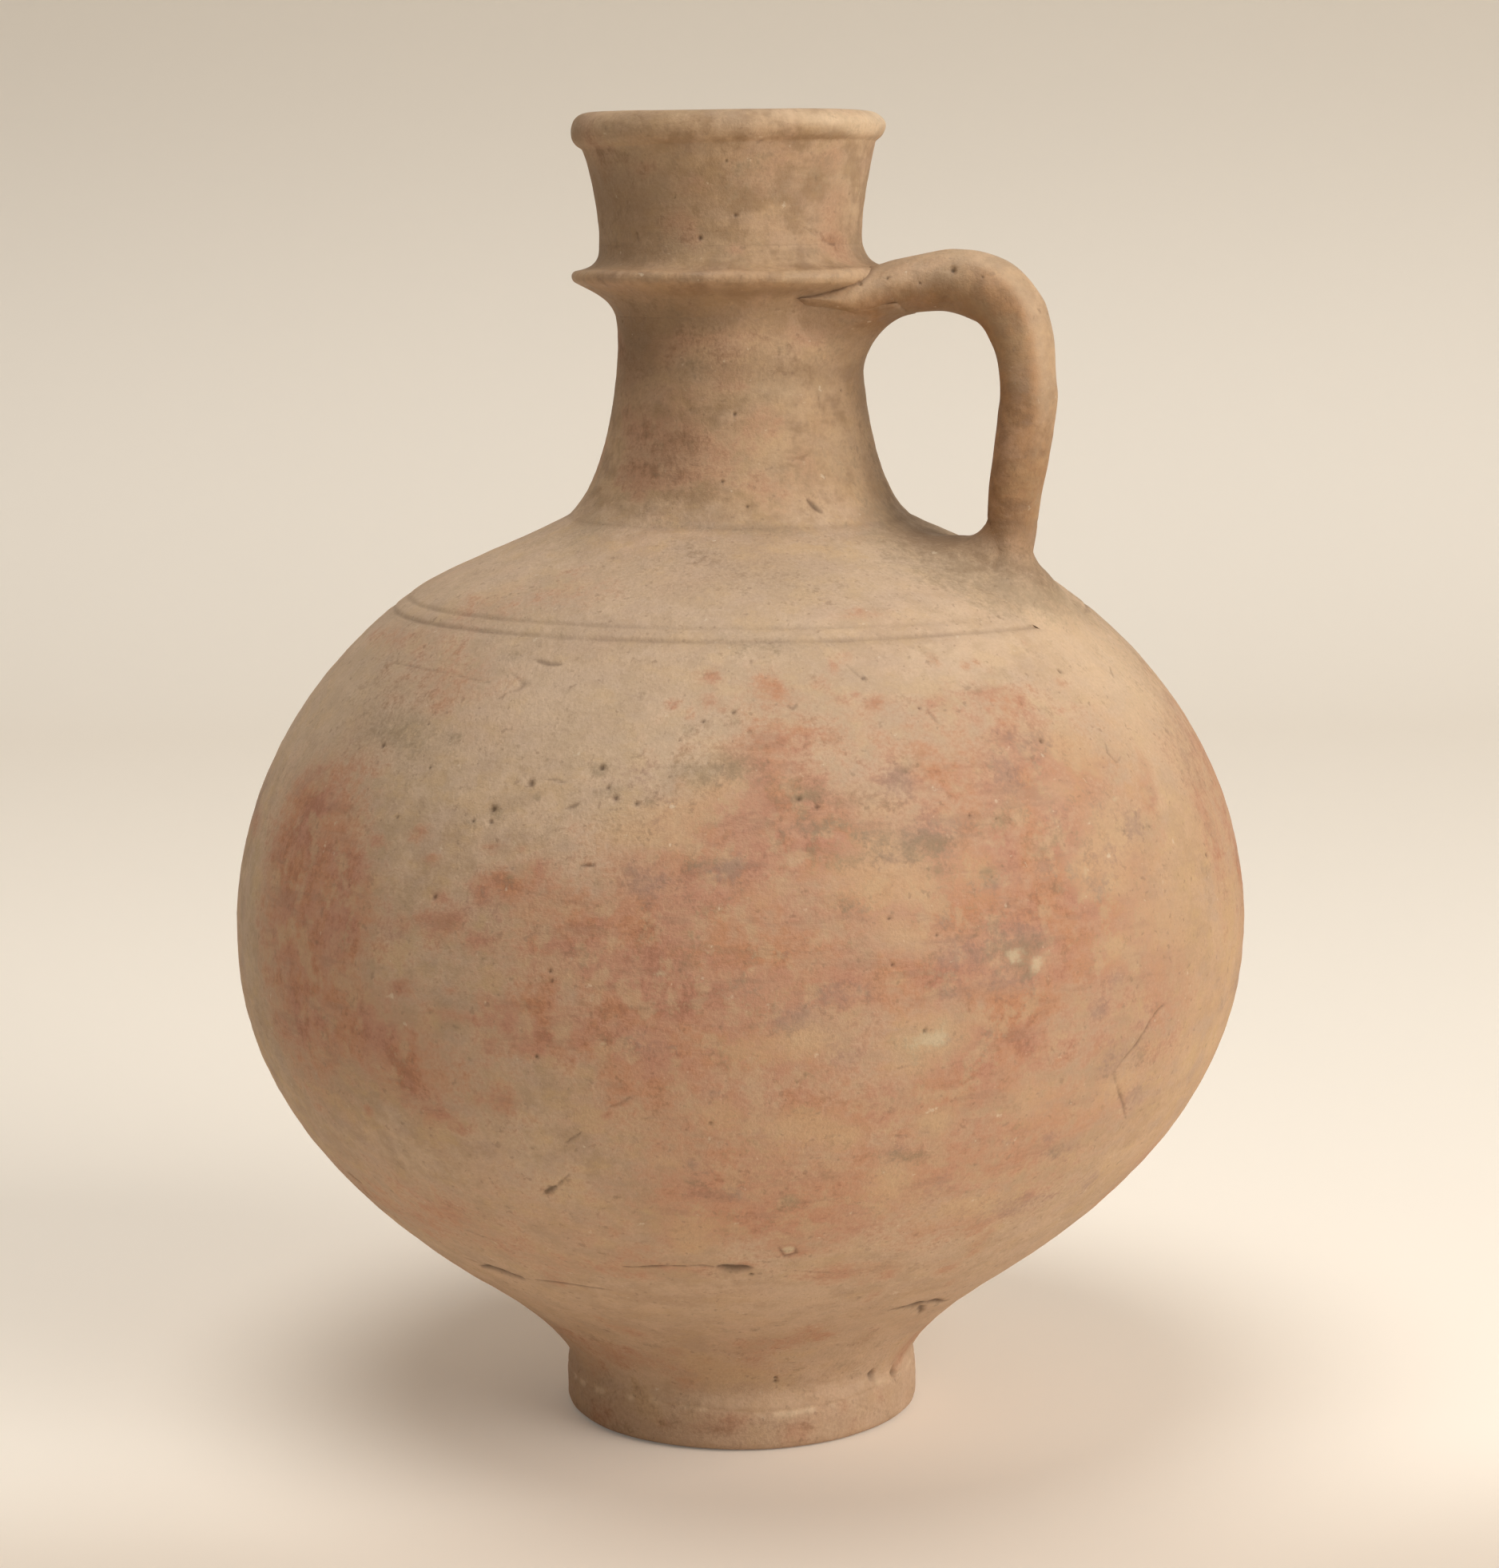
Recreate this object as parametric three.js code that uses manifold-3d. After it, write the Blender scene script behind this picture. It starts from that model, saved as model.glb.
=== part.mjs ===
// A pottery wine jug: a body thrown in two halves on a turned foot, with a neck, a ring collar,
// a flared mouth with a rolled lip, and one pulled handle. The pieces are luted with slip.
// Millimetres, +Z up. The origin is the centre of the circle that the foot rests on.

import * as THREE from "three";
import { mergeVertices } from "three/addons/utils/BufferGeometryUtils.js";
import Module from "manifold-3d";

const wasm = await Module();
wasm.setup();

// Heights of the pieces, stacked from the table up
const FOOT_HEIGHT = 36; // resting face to the foot's seam with the body
const BOWL_HEIGHT = 79; // foot seam to the widest girth
const DOME_HEIGHT = 75; // widest girth to the edge of the shoulder's cone
const CONE_HEIGHT = 16.5; // edge of the cone to the neck seam
const NECK_HEIGHT = 51.5; // neck seam to the joint with the mouth
const MOUTH_HEIGHT = 38.2; // that joint to the top of the lip

// Outside radii, and how far the smaller pieces stand out from the wall that carries them
const FOOT_RADIUS = 40.8;
const FOOT_WAIST_INSET = 0.6;
const FOOT_FLARE = 23.4; // foot waist to foot seam
const GIRTH_RADIUS = 114.6;
const CONE_RADIUS = 73.1;
const NECK_WAIST_RADIUS = 27.6;
const NECK_FLARE = 11.2; // neck waist to neck seam
const COLLAR_REACH = 8.8; // neck waist to the collar's tip
const MOUTH_STEP = 2; // neck waist to the foot of the mouth
const LIP_FLARE = 5.5; // foot of the mouth to the lip's widest

// Walls
const WALL = 6;
const NECK_WALL = 5;
const FLOOR_THICKNESS = 7;
const FOOT_RING_WALL = 9.5;

// Lean of the wall from upright where two runs of the outline meet, in degrees
const FOOT_SEAM_LEAN = 55.7;
const CONE_LEAN = -54.4;
const SHOULDER_SEAM_LEAN = -57.3;
const NECK_SEAM_LEAN = -54;
const MOUTH_FOOT_LEAN = -5;
const UNDER_LIP_LEAN = 16;

// How far those leans carry along each run: at its lower end, then at its upper end
const FOOT_PULLS = [0.08, 0.62];
const BOWL_PULLS = [0.638, 0.155];
const DOME_PULLS = [0.173, 0.528];
const CONE_PULLS = [0.245, 0.18];
const NECK_PULLS = [0.234, 0.325];
const MOUTH_PULLS = [0.25, 0.3];
const THROAT_PULLS = [0.3, 0.55];
const FUNNEL_PULLS = [0.3, 0.35];

// Foot
const FOOT_EDGE_ROUND = 2.2;
const FOOT_WAIST_HEIGHT = 12.5;
const FOOT_LINE_HEIGHT = 9.5; // turned line round the foot
const FLOOR_HEIGHT = 22; // table to the underside of the body
const FOOT_LAP = 4; // width of the foot's top face under the body's step

// Incised lines
const LINE_DEPTH = 0.55;
const LINE_WIDTH = 1.3;
const SHOULDER_LINES = [3.5, 1]; // below the edge of the cone

// Luted joints
const SLIP_GAP = 0.3; // slip between two laps that slide together
const TONGUE_HEIGHT = 4; // tongue of the lower body inside the upper body
const NECK_SEAT_WIDTH = 4.5; // shoulder under the neck's lower edge
const NECK_SPIGOT_DEPTH = 4;
const NECK_SPIGOT_WALL = 4;
const COLLAR_LAP_WALL = 3.2; // neck and mouth where the collar covers them
const COLLAR_DROP = 7; // collar below the joint of neck and mouth
const COLLAR_RISE = 8.5; // collar above that joint

// Neck, collar and mouth
const NECK_WAIST_HEIGHT = 39.5; // above the neck seam
const NECK_TOP_FLARE = 0.5; // neck waist to the collar's lower edge
const COLLAR_TIP_HEIGHT = 2; // above the joint of neck and mouth
const COLLAR_TIP_ROUND = 1.2;
const COLLAR_HOLLOW = 0.9; // how far the hollows under and over the tip stand off the wall
const LIP_ROLL = 5; // radius of the rolled lip
const LIP_UNDERCUT = 1.3; // mouth wall in from the lip's lower corner
const LIP_INNER_ROUND = 3;
const LIP_CORNER_ANGLE = -38; // where the roll ends below, in degrees

// Handle
const HANDLE_BEARING = -24; // turned from +X, in degrees
const HANDLE_CLEARANCE = 41.4; // neck waist to the handle's centre line
const HANDLE_TUCK = 6.4; // its foot in from its widest reach
const HANDLE_ROOT_DROP = 4.4; // root below the joint of neck and mouth
const HANDLE_CROWN = 7.6; // how high the bend is pulled over the root
const HANDLE_BEND_DROP = 23.1; // joint of neck and mouth down to the widest reach
const HANDLE_WIDTH = 15;
const HANDLE_THICKNESS = 11.2;
const BEND_THICKENING = 2.8; // added at the bend
const BEND_SHARE = 0.42; // where along the handle the bend is thickest
const BEND_SPAN = 0.24; // and how far from there that dies away, as a share too
const ROOT_SPREAD = 15; // extra half width where the root wraps the collar
const ROOT_THICKENING = 1;
const ROOT_LENGTH = 17; // how far along the handle the root's spread dies away
const HANDLE_FOOT_SPREAD = 2.5;
const HANDLE_FOOT_LENGTH = 12;

// Luting clay: a hollow fillet under the handle's root, and a pat round its foot
const FILLET_RADIUS = 12.4;
const FILLET_DROP = 6.1; // its top below the joint of neck and mouth
const FILLET_HALF_WIDTH = 12;
const PAT_HALF_LENGTH = 13;
const PAT_HALF_WIDTH = 12;
const PAT_RISE = 3.5;

// How far off centre the pieces were thrown and joined, along X, at their joints
const FOOT_OFFSET = -0.7;
const FOOT_SEAM_OFFSET = -1;
const NECK_SEAM_OFFSET = 0.4;
const NECK_TOP_OFFSET = 1.1;
const MOUTH_OFFSET = -0.8;
const LIP_OFFSET = -1;

// Fineness
const SEGMENTS = 40;
const HANDLE_STEPS = 26;
const HANDLE_SIDES = 14;

// Levels and radii that follow from the sizes above
const girthZ = FOOT_HEIGHT + BOWL_HEIGHT;
const coneZ = girthZ + DOME_HEIGHT;
const seamZ = coneZ + CONE_HEIGHT;
const mouthZ = seamZ + NECK_HEIGHT;
const lipZ = mouthZ + MOUTH_HEIGHT;
const collarBaseZ = mouthZ - COLLAR_DROP;
const collarTopZ = mouthZ + COLLAR_RISE;
const footWaistRadius = FOOT_RADIUS - FOOT_WAIST_INSET;
const footSeamRadius = footWaistRadius + FOOT_FLARE;
const neckSeamRadius = NECK_WAIST_RADIUS + NECK_FLARE;
const neckTopRadius = NECK_WAIST_RADIUS + NECK_TOP_FLARE;
const neckBore = NECK_WAIST_RADIUS - NECK_WALL;
const lapRadius = neckBore + COLLAR_LAP_WALL;
const mouthFootRadius = NECK_WAIST_RADIUS + MOUTH_STEP;
const lipRadius = mouthFootRadius + LIP_FLARE;
const neckHoleRadius = neckSeamRadius - NECK_SEAT_WIDTH;

const radians = (degrees) => degrees * THREE.MathUtils.DEG2RAD;
const point = (r, z) => new THREE.Vector2(r, z);
const smooth = (t) => THREE.MathUtils.smoothstep(t, 0, 1);

// A smooth run of wall that leaves and arrives at a lean from upright. The pulls say how far
// each lean carries, as a share of the distance between the ends.
function run(from, leaveLean, to, arriveLean, pulls) {
  const reach = from.distanceTo(to);
  const ray = (lean) => point(Math.sin(radians(lean)), Math.cos(radians(lean)));
  const leave = from.clone().addScaledVector(ray(leaveLean), reach * pulls[0]);
  const arrive = to.clone().addScaledVector(ray(arriveLean), -reach * pulls[1]);
  return new THREE.CubicBezierCurve(from, leave, arrive, to);
}

// Points at a set depth inside a run of the outer wall, in the same order
function inset(curve, count, depth) {
  const points = [];
  for (let i = 0; i <= count; i++) {
    const tangent = curve.getTangent(i / count);
    const inward = point(-tangent.y, tangent.x);
    points.push(curve.getPoint(i / count).addScaledVector(inward, depth));
  }
  return points;
}

// An arc of points round a centre, in degrees, both ends included
function arc(centre, radius, fromAngle, toAngle, count) {
  const points = [];
  for (let i = 0; i <= count; i++) {
    const angle = radians(THREE.MathUtils.lerp(fromAngle, toAngle, i / count));
    points.push(point(centre.x + radius * Math.cos(angle), centre.y + radius * Math.sin(angle)));
  }
  return points;
}

// The radius of a rising outline at a height
function radiusAt(points, z) {
  const above = Math.max(1, points.findIndex((p) => p.y >= z));
  const a = points[above - 1];
  const b = points[above];
  return THREE.MathUtils.mapLinear(z, a.y, b.y, a.x, b.x);
}

// The height of a rising and closing outline at a radius
function heightAt(points, r) {
  const beyond = Math.max(1, points.findIndex((p) => p.x <= r));
  const a = points[beyond - 1];
  const b = points[beyond];
  return THREE.MathUtils.mapLinear(r, a.x, b.x, a.y, b.y);
}

// A rising outline with a V-shaped line pressed square into it at a height
function withLine(points, z) {
  const half = LINE_WIDTH / 2;
  const bottom = point(radiusAt(points, z - half), z - half);
  const top = point(radiusAt(points, z + half), z + half);
  const along = top.clone().sub(bottom).normalize();
  const middle = bottom.clone().lerp(top, 0.5);
  const low = middle.clone().addScaledVector(along, -half);
  const deep = middle.clone().add(point(-along.y * LINE_DEPTH, along.x * LINE_DEPTH));
  const high = middle.clone().addScaledVector(along, half);
  const below = points.filter((p) => p.y < z - LINE_WIDTH);
  const above = points.filter((p) => p.y > z + LINE_WIDTH);
  return [...below, low, deep, high, ...above];
}

// Runs of the outer wall
const footWaist = point(footWaistRadius, FOOT_WAIST_HEIGHT);
const footSeam = point(footSeamRadius, FOOT_HEIGHT);
const girth = point(GIRTH_RADIUS, girthZ);
const coneEdge = point(CONE_RADIUS, coneZ);
const neckSeam = point(neckSeamRadius, seamZ);
const neckWaist = point(NECK_WAIST_RADIUS, seamZ + NECK_WAIST_HEIGHT);
const mouthFoot = point(mouthFootRadius, collarTopZ);
const rollCentre = point(lipRadius - LIP_ROLL, lipZ - LIP_ROLL);
const lipRoll = arc(rollCentre, LIP_ROLL, LIP_CORNER_ANGLE, 90, 6);
const underLip = point(lipRoll[0].x - LIP_UNDERCUT, lipRoll[0].y);

const footFlare = run(footWaist, 0, footSeam, FOOT_SEAM_LEAN, FOOT_PULLS);
const bowlWall = run(footSeam, FOOT_SEAM_LEAN, girth, 0, BOWL_PULLS);
const domeWall = run(girth, 0, coneEdge, CONE_LEAN, DOME_PULLS);
const coneWall = run(coneEdge, CONE_LEAN, neckSeam, SHOULDER_SEAM_LEAN, CONE_PULLS);
const neckRise = run(neckSeam, NECK_SEAM_LEAN, neckWaist, 0, NECK_PULLS);
const mouthWall = run(mouthFoot, MOUTH_FOOT_LEAN, underLip, UNDER_LIP_LEAN, MOUTH_PULLS);

// The shoulder's outer points, from the widest girth to the neck seam
const shoulderPoints = [...domeWall.getPoints(10), ...coneWall.getPoints(4).slice(1)];

// How far a height is off centre, along X
function wander(z) {
  const stops = [
    [0, FOOT_OFFSET],
    [FOOT_HEIGHT, FOOT_SEAM_OFFSET],
    [girthZ, 0],
    [coneZ, 0],
    [seamZ, NECK_SEAM_OFFSET],
    [collarBaseZ, NECK_TOP_OFFSET],
    [collarTopZ, MOUTH_OFFSET],
    [lipZ, LIP_OFFSET],
  ];
  const next = stops.findIndex(([level]) => level > z);
  if (next < 0) return LIP_OFFSET;
  const [lowZ, low] = stops[Math.max(0, next - 1)];
  const [highZ, high] = stops[next];
  return next === 0 ? low : THREE.MathUtils.mapLinear(z, lowZ, highZ, low, high);
}

// A piece turned on the wheel from a closed outline, or from one that starts and ends on the axis
function turned(outline) {
  const geometry = new THREE.LatheGeometry(outline, SEGMENTS).rotateX(Math.PI / 2);
  const position = geometry.getAttribute("position");
  for (let i = 0; i < position.count; i++) {
    position.setX(i, position.getX(i) + wander(position.getZ(i)));
  }
  return geometry;
}

const closed = (outline) => [...outline, outline[0].clone()];

// The conical seat in the foot that holds the body: its radius at a height
function seatRadius(z) {
  return footSeamRadius - FOOT_LAP - (FOOT_HEIGHT - z) * Math.tan(radians(FOOT_SEAM_LEAN));
}

function footGeometry() {
  const edge = arc(point(FOOT_RADIUS - FOOT_EDGE_ROUND, FOOT_EDGE_ROUND), FOOT_EDGE_ROUND, -90, 0, 3);
  const band = [...edge, point(FOOT_RADIUS, FOOT_LINE_HEIGHT - LINE_WIDTH)];
  const side = withLine([...band, ...footFlare.getPoints(7)], FOOT_LINE_HEIGHT);
  const ringBore = FOOT_RADIUS - FOOT_RING_WALL;
  const inner = [
    point(seatRadius(FOOT_HEIGHT), FOOT_HEIGHT),
    point(seatRadius(FLOOR_HEIGHT), FLOOR_HEIGHT),
    point(ringBore, FLOOR_HEIGHT),
    point(ringBore, 0),
  ];
  return turned(closed([...side, ...inner]));
}

function lowerBodyGeometry() {
  const seatGap = SLIP_GAP / Math.cos(radians(FOOT_SEAM_LEAN));
  const under = [
    point(0, FLOOR_HEIGHT),
    point(seatRadius(FLOOR_HEIGHT) - seatGap, FLOOR_HEIGHT),
    point(seatRadius(FOOT_HEIGHT) - seatGap, FOOT_HEIGHT),
  ];
  const tongueRadius = GIRTH_RADIUS - WALL / 2 - SLIP_GAP;
  const tongue = [
    point(tongueRadius, girthZ),
    point(tongueRadius, girthZ + TONGUE_HEIGHT),
    point(GIRTH_RADIUS - WALL, girthZ + TONGUE_HEIGHT),
  ];
  const inside = inset(bowlWall, 6, WALL).reverse();
  const lowest = inside[inside.length - 1];
  const innerFloorZ = FLOOR_HEIGHT + FLOOR_THICKNESS;
  const floorRadius = lowest.x - (lowest.y - innerFloorZ) * Math.tan(radians(FOOT_SEAM_LEAN));
  const floor = [point(floorRadius, innerFloorZ), point(0, innerFloorZ)];
  return turned([...under, ...bowlWall.getPoints(9), ...tongue, ...inside, ...floor]);
}

function upperBodyGeometry() {
  const addLine = (points, drop) => withLine(points, coneZ - drop);
  const outside = SHOULDER_LINES.reduce(addLine, shoulderPoints);
  const inside = [...inset(domeWall, 7, WALL), ...inset(coneWall, 2, WALL).slice(1)];
  const holeBase = inside[inside.length - 1].y;
  const hole = [point(neckHoleRadius, seamZ), point(neckHoleRadius, holeBase)];
  const socketRadius = GIRTH_RADIUS - WALL / 2;
  const socketZ = girthZ + TONGUE_HEIGHT + SLIP_GAP;
  const lining = inside.filter((p) => p.y > socketZ && p.x > neckHoleRadius).reverse();
  const socket = [
    point(GIRTH_RADIUS - WALL, socketZ),
    point(socketRadius, socketZ),
    point(socketRadius, girthZ),
  ];
  return turned(closed([...outside, ...hole, ...lining, ...socket]));
}

function neckGeometry() {
  const spigotRadius = neckHoleRadius - SLIP_GAP;
  const spigotZ = seamZ - NECK_SPIGOT_DEPTH;
  const throatFoot = point(spigotRadius - NECK_SPIGOT_WALL, spigotZ);
  const throat = run(throatFoot, -6, point(neckBore, neckWaist.y), 0, THROAT_PULLS);
  const outside = [
    point(spigotRadius, spigotZ),
    point(spigotRadius, seamZ),
    ...neckRise.getPoints(8),
    point(neckTopRadius, collarBaseZ),
    point(lapRadius, collarBaseZ),
    point(lapRadius, mouthZ),
  ];
  return turned(closed([...outside, point(neckBore, mouthZ), ...throat.getPoints(5).reverse()]));
}

// The collar's outer points, from its lower edge round its tip to its upper edge
function collarPoints() {
  const tipRadius = NECK_WAIST_RADIUS + COLLAR_REACH - COLLAR_TIP_ROUND;
  const tip = arc(point(tipRadius, mouthZ + COLLAR_TIP_HEIGHT), COLLAR_TIP_ROUND, -62, 80, 4);
  const first = tip[0];
  const last = tip[tip.length - 1];
  const under = new THREE.QuadraticBezierCurve(
    point(neckTopRadius, collarBaseZ),
    point(neckTopRadius + COLLAR_HOLLOW, (collarBaseZ + mouthZ) / 2),
    first,
  );
  const over = new THREE.QuadraticBezierCurve(
    last,
    point(mouthFootRadius + COLLAR_HOLLOW, last.y + COLLAR_HOLLOW / 2),
    mouthFoot,
  );
  return [...under.getPoints(4), ...tip.slice(1), ...over.getPoints(4).slice(1)];
}

function collarGeometry() {
  const bore = lapRadius + SLIP_GAP;
  return turned(closed([...collarPoints(), point(bore, collarTopZ), point(bore, collarBaseZ)]));
}

function mouthGeometry() {
  const innerCentre = point(rollCentre.x, lipZ - LIP_INNER_ROUND);
  const lipInner = arc(innerCentre, LIP_INNER_ROUND, 90, 180, 4);
  const funnelTop = lipInner[lipInner.length - 1];
  const funnel = run(point(neckBore, collarTopZ), 12, funnelTop, 3, FUNNEL_PULLS);
  const outside = [
    point(lapRadius, mouthZ),
    point(lapRadius, collarTopZ),
    ...mouthWall.getPoints(5),
    ...lipRoll,
    ...lipInner.slice(1),
  ];
  const inside = [...funnel.getPoints(4).reverse().slice(1), point(neckBore, mouthZ)];
  return turned(closed([...outside, ...inside]));
}

// A closed solid from a geometry whose shared vertices are merged
function solid(geometry) {
  const plain = geometry.clone();
  plain.deleteAttribute("normal");
  plain.deleteAttribute("uv");
  const merged = mergeVertices(plain, 1e-4);
  const triVerts = new Uint32Array(merged.index.array);
  const vertProperties = new Float32Array(merged.getAttribute("position").array);
  return new wasm.Manifold(new wasm.Mesh({ numProp: 3, vertProperties, triVerts }));
}

function geometryOf(manifold) {
  const mesh = manifold.getMesh();
  const geometry = new THREE.BufferGeometry();
  geometry.setAttribute("position", new THREE.BufferAttribute(mesh.vertProperties, 3));
  geometry.setIndex(new THREE.BufferAttribute(mesh.triVerts, 1));
  geometry.computeVertexNormals();
  return geometry;
}

// The whole outside from the girth up, grown by the slip gap: it trims what is luted on
function outerForm() {
  const outline = [
    ...shoulderPoints,
    ...neckRise.getPoints(8).slice(1),
    ...collarPoints(),
    ...mouthWall.getPoints(5).slice(1),
    ...lipRoll,
  ];
  const grown = outline.map((p, i) => {
    const before = outline[Math.max(0, i - 1)];
    const after = outline[Math.min(outline.length - 1, i + 1)];
    const along = after.clone().sub(before).normalize();
    return p.clone().add(point(along.y * SLIP_GAP, -along.x * SLIP_GAP));
  });
  return solid(turned([point(0, girthZ), ...grown, point(0, lipZ)]));
}

// A closed solid through rings of points that all have the same count
function loft(rings) {
  const sides = rings[0].length;
  const vertices = rings.flat().flatMap((p) => [p.x, p.y, p.z]);
  const faces = [];
  for (let i = 0; i + 1 < rings.length; i++) {
    for (let j = 0; j < sides; j++) {
      const a = i * sides + j;
      const b = i * sides + ((j + 1) % sides);
      faces.push(a, b, b + sides, a, b + sides, a + sides);
    }
  }
  const last = (rings.length - 1) * sides;
  for (let j = 1; j + 1 < sides; j++) {
    faces.push(0, j + 1, j);
    faces.push(last, last + j, last + j + 1);
  }
  const geometry = new THREE.BufferGeometry();
  geometry.setAttribute("position", new THREE.Float32BufferAttribute(vertices, 3));
  geometry.setIndex(faces);
  return geometry;
}

// The handle's centre line in its own upright plane: X out from the jug's axis, Z up
const handleReach = NECK_WAIST_RADIUS + HANDLE_CLEARANCE;
const handleFootRadius = handleReach - HANDLE_TUCK;
const handleFootZ = heightAt(shoulderPoints, handleFootRadius);

function handlePath() {
  const at = (r, z) => new THREE.Vector3(r, 0, z);
  const root = at(neckBore + NECK_WALL / 2, mouthZ - HANDLE_ROOT_DROP);
  const bend = at(handleReach, mouthZ - HANDLE_BEND_DROP);
  const foot = at(handleFootRadius, handleFootZ - WALL / 2);
  const fall = bend.z - foot.z;
  const path = new THREE.CurvePath();
  path.add(
    new THREE.CubicBezierCurve3(
      root,
      at(THREE.MathUtils.lerp(root.x, bend.x, 0.61), root.z + HANDLE_CROWN),
      at(handleReach, root.z + HANDLE_CROWN),
      bend,
    ),
  );
  path.add(
    new THREE.CubicBezierCurve3(
      bend,
      at(handleReach, bend.z - fall * 0.22),
      at(handleFootRadius + HANDLE_TUCK * 0.38, foot.z + fall * 0.15),
      foot,
    ),
  );
  return path;
}

// Half the bar's width and thickness at a distance along it: a fish tail at its root, thicker
// at the bend, and a little spread at its foot
function barHalves(along, length) {
  const root = 1 - smooth(along / ROOT_LENGTH);
  const bend = smooth(1 - Math.abs(along / length - BEND_SHARE) / BEND_SPAN);
  const foot = smooth(1 - (length - along) / HANDLE_FOOT_LENGTH);
  const thickness = HANDLE_THICKNESS + BEND_THICKENING * bend + ROOT_THICKENING * root;
  return {
    across: HANDLE_WIDTH / 2 + ROOT_SPREAD * root + HANDLE_FOOT_SPREAD * foot,
    out: (thickness + HANDLE_FOOT_SPREAD * foot) / 2,
  };
}

// The pulled bar, an oval swept along the handle's path. It is made larger all round by a margin
function handleBar(margin) {
  const path = handlePath();
  const length = path.getLength();
  const across = new THREE.Vector3(0, 1, 0);
  const rings = [];
  for (let i = 0; i <= HANDLE_STEPS; i++) {
    const centre = path.getPointAt(i / HANDLE_STEPS);
    const out = new THREE.Vector3().crossVectors(path.getTangentAt(i / HANDLE_STEPS), across);
    const half = barHalves((i / HANDLE_STEPS) * length, length);
    const ring = [];
    for (let j = 0; j < HANDLE_SIDES; j++) {
      const angle = (j / HANDLE_SIDES) * 2 * Math.PI;
      const side = Math.cos(angle) * (half.across + margin);
      const rise = Math.sin(angle) * (half.out + margin);
      ring.push(centre.clone().addScaledVector(across, side).addScaledVector(out, rise));
    }
    rings.push(ring);
  }
  return solid(loft(rings).rotateZ(radians(HANDLE_BEARING)));
}

const form = outerForm();

// The largest body left when a luted piece is trimmed to the walls it sits on
function largest(manifold) {
  return manifold.decompose().sort((a, b) => b.volume() - a.volume())[0];
}

function handleGeometry() {
  return geometryOf(largest(handleBar(0).subtract(form)));
}

function lutingGeometry(lump) {
  const turnedLump = solid(lump.rotateZ(radians(HANDLE_BEARING)));
  return geometryOf(largest(turnedLump.subtract(form).subtract(handleBar(SLIP_GAP))));
}

// The fillet under the root: hollow-fronted sections that shrink toward its two ends
function upperLuting() {
  const top = mouthZ - FILLET_DROP;
  const rings = [];
  for (let i = 0; i <= 12; i++) {
    const share = Math.cos((i / 12) * Math.PI) * 0.96;
    const y = share * FILLET_HALF_WIDTH;
    const size = FILLET_RADIUS * Math.sqrt(1 - share * share);
    const wall = Math.sqrt(neckTopRadius * neckTopRadius - y * y);
    const hollow = arc(point(wall + size, top - size), size, 180, 90, 6);
    const section = [point(wall - NECK_WALL / 2, top - size), ...hollow];
    section.push(point(wall + size / 2, top + size / 3), point(wall - NECK_WALL / 2, top + size / 3));
    rings.push(section.map((p) => new THREE.Vector3(p.x, y, p.y)));
  }
  return lutingGeometry(loft(rings));
}

// The pat round the foot: a low oval dome that lies along the shoulder
function lowerLuting() {
  const inner = heightAt(shoulderPoints, handleFootRadius - WALL);
  const outer = heightAt(shoulderPoints, handleFootRadius + WALL);
  const dome = new THREE.SphereGeometry(1, 18, 12)
    .scale(PAT_HALF_LENGTH, PAT_HALF_WIDTH, PAT_RISE)
    .rotateY(Math.atan2(inner - outer, 2 * WALL))
    .translate(handleFootRadius, 0, handleFootZ);
  return lutingGeometry(dome);
}

const COLOURS = {
  buff: 0xc6a07c,
  rose: 0xc28f6c,
  dusky: 0xb08a66,
  grey: 0xa08a6c,
};

function clay(colour) {
  return new THREE.MeshStandardMaterial({ color: colour, roughness: 0.85, metalness: 0 });
}

function piece(name, geometry, colour) {
  const mesh = new THREE.Mesh(geometry, clay(colour));
  mesh.name = name;
  return mesh;
}

const jug = new THREE.Group();
jug.name = "wine_jug";
jug.add(
  piece("foot", footGeometry(), COLOURS.dusky),
  piece("lower_body", lowerBodyGeometry(), COLOURS.rose),
  piece("upper_body", upperBodyGeometry(), COLOURS.buff),
  piece("neck", neckGeometry(), COLOURS.dusky),
  piece("collar", collarGeometry(), COLOURS.dusky),
  piece("mouth", mouthGeometry(), COLOURS.dusky),
  piece("handle", handleGeometry(), COLOURS.buff),
  piece("upper_luting", upperLuting(), COLOURS.grey),
  piece("lower_luting", lowerLuting(), COLOURS.grey),
);

export default jug;
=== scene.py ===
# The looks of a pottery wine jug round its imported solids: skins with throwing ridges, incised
# lines, pits and cracks, stained matt slip with some painted light and shade, a pale floor with painted
# shade, soft light and the camera.
# Shapes are worked out in millimetres and written to the meshes in metres.

import math

import bmesh
import bpy
import numpy as np
from mathutils import Matrix, Vector


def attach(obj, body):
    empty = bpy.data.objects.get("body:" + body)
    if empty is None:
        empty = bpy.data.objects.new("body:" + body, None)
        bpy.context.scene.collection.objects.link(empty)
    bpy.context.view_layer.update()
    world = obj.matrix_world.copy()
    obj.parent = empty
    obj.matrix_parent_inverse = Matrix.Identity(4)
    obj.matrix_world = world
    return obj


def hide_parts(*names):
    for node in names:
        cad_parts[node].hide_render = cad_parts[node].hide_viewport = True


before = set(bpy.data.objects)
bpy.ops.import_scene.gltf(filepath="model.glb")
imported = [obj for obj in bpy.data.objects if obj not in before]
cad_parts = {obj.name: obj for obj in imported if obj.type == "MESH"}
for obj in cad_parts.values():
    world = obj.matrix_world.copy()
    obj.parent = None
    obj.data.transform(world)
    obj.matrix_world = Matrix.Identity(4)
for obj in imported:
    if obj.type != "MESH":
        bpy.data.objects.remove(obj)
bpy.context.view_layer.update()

MM = 0.001

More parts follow.
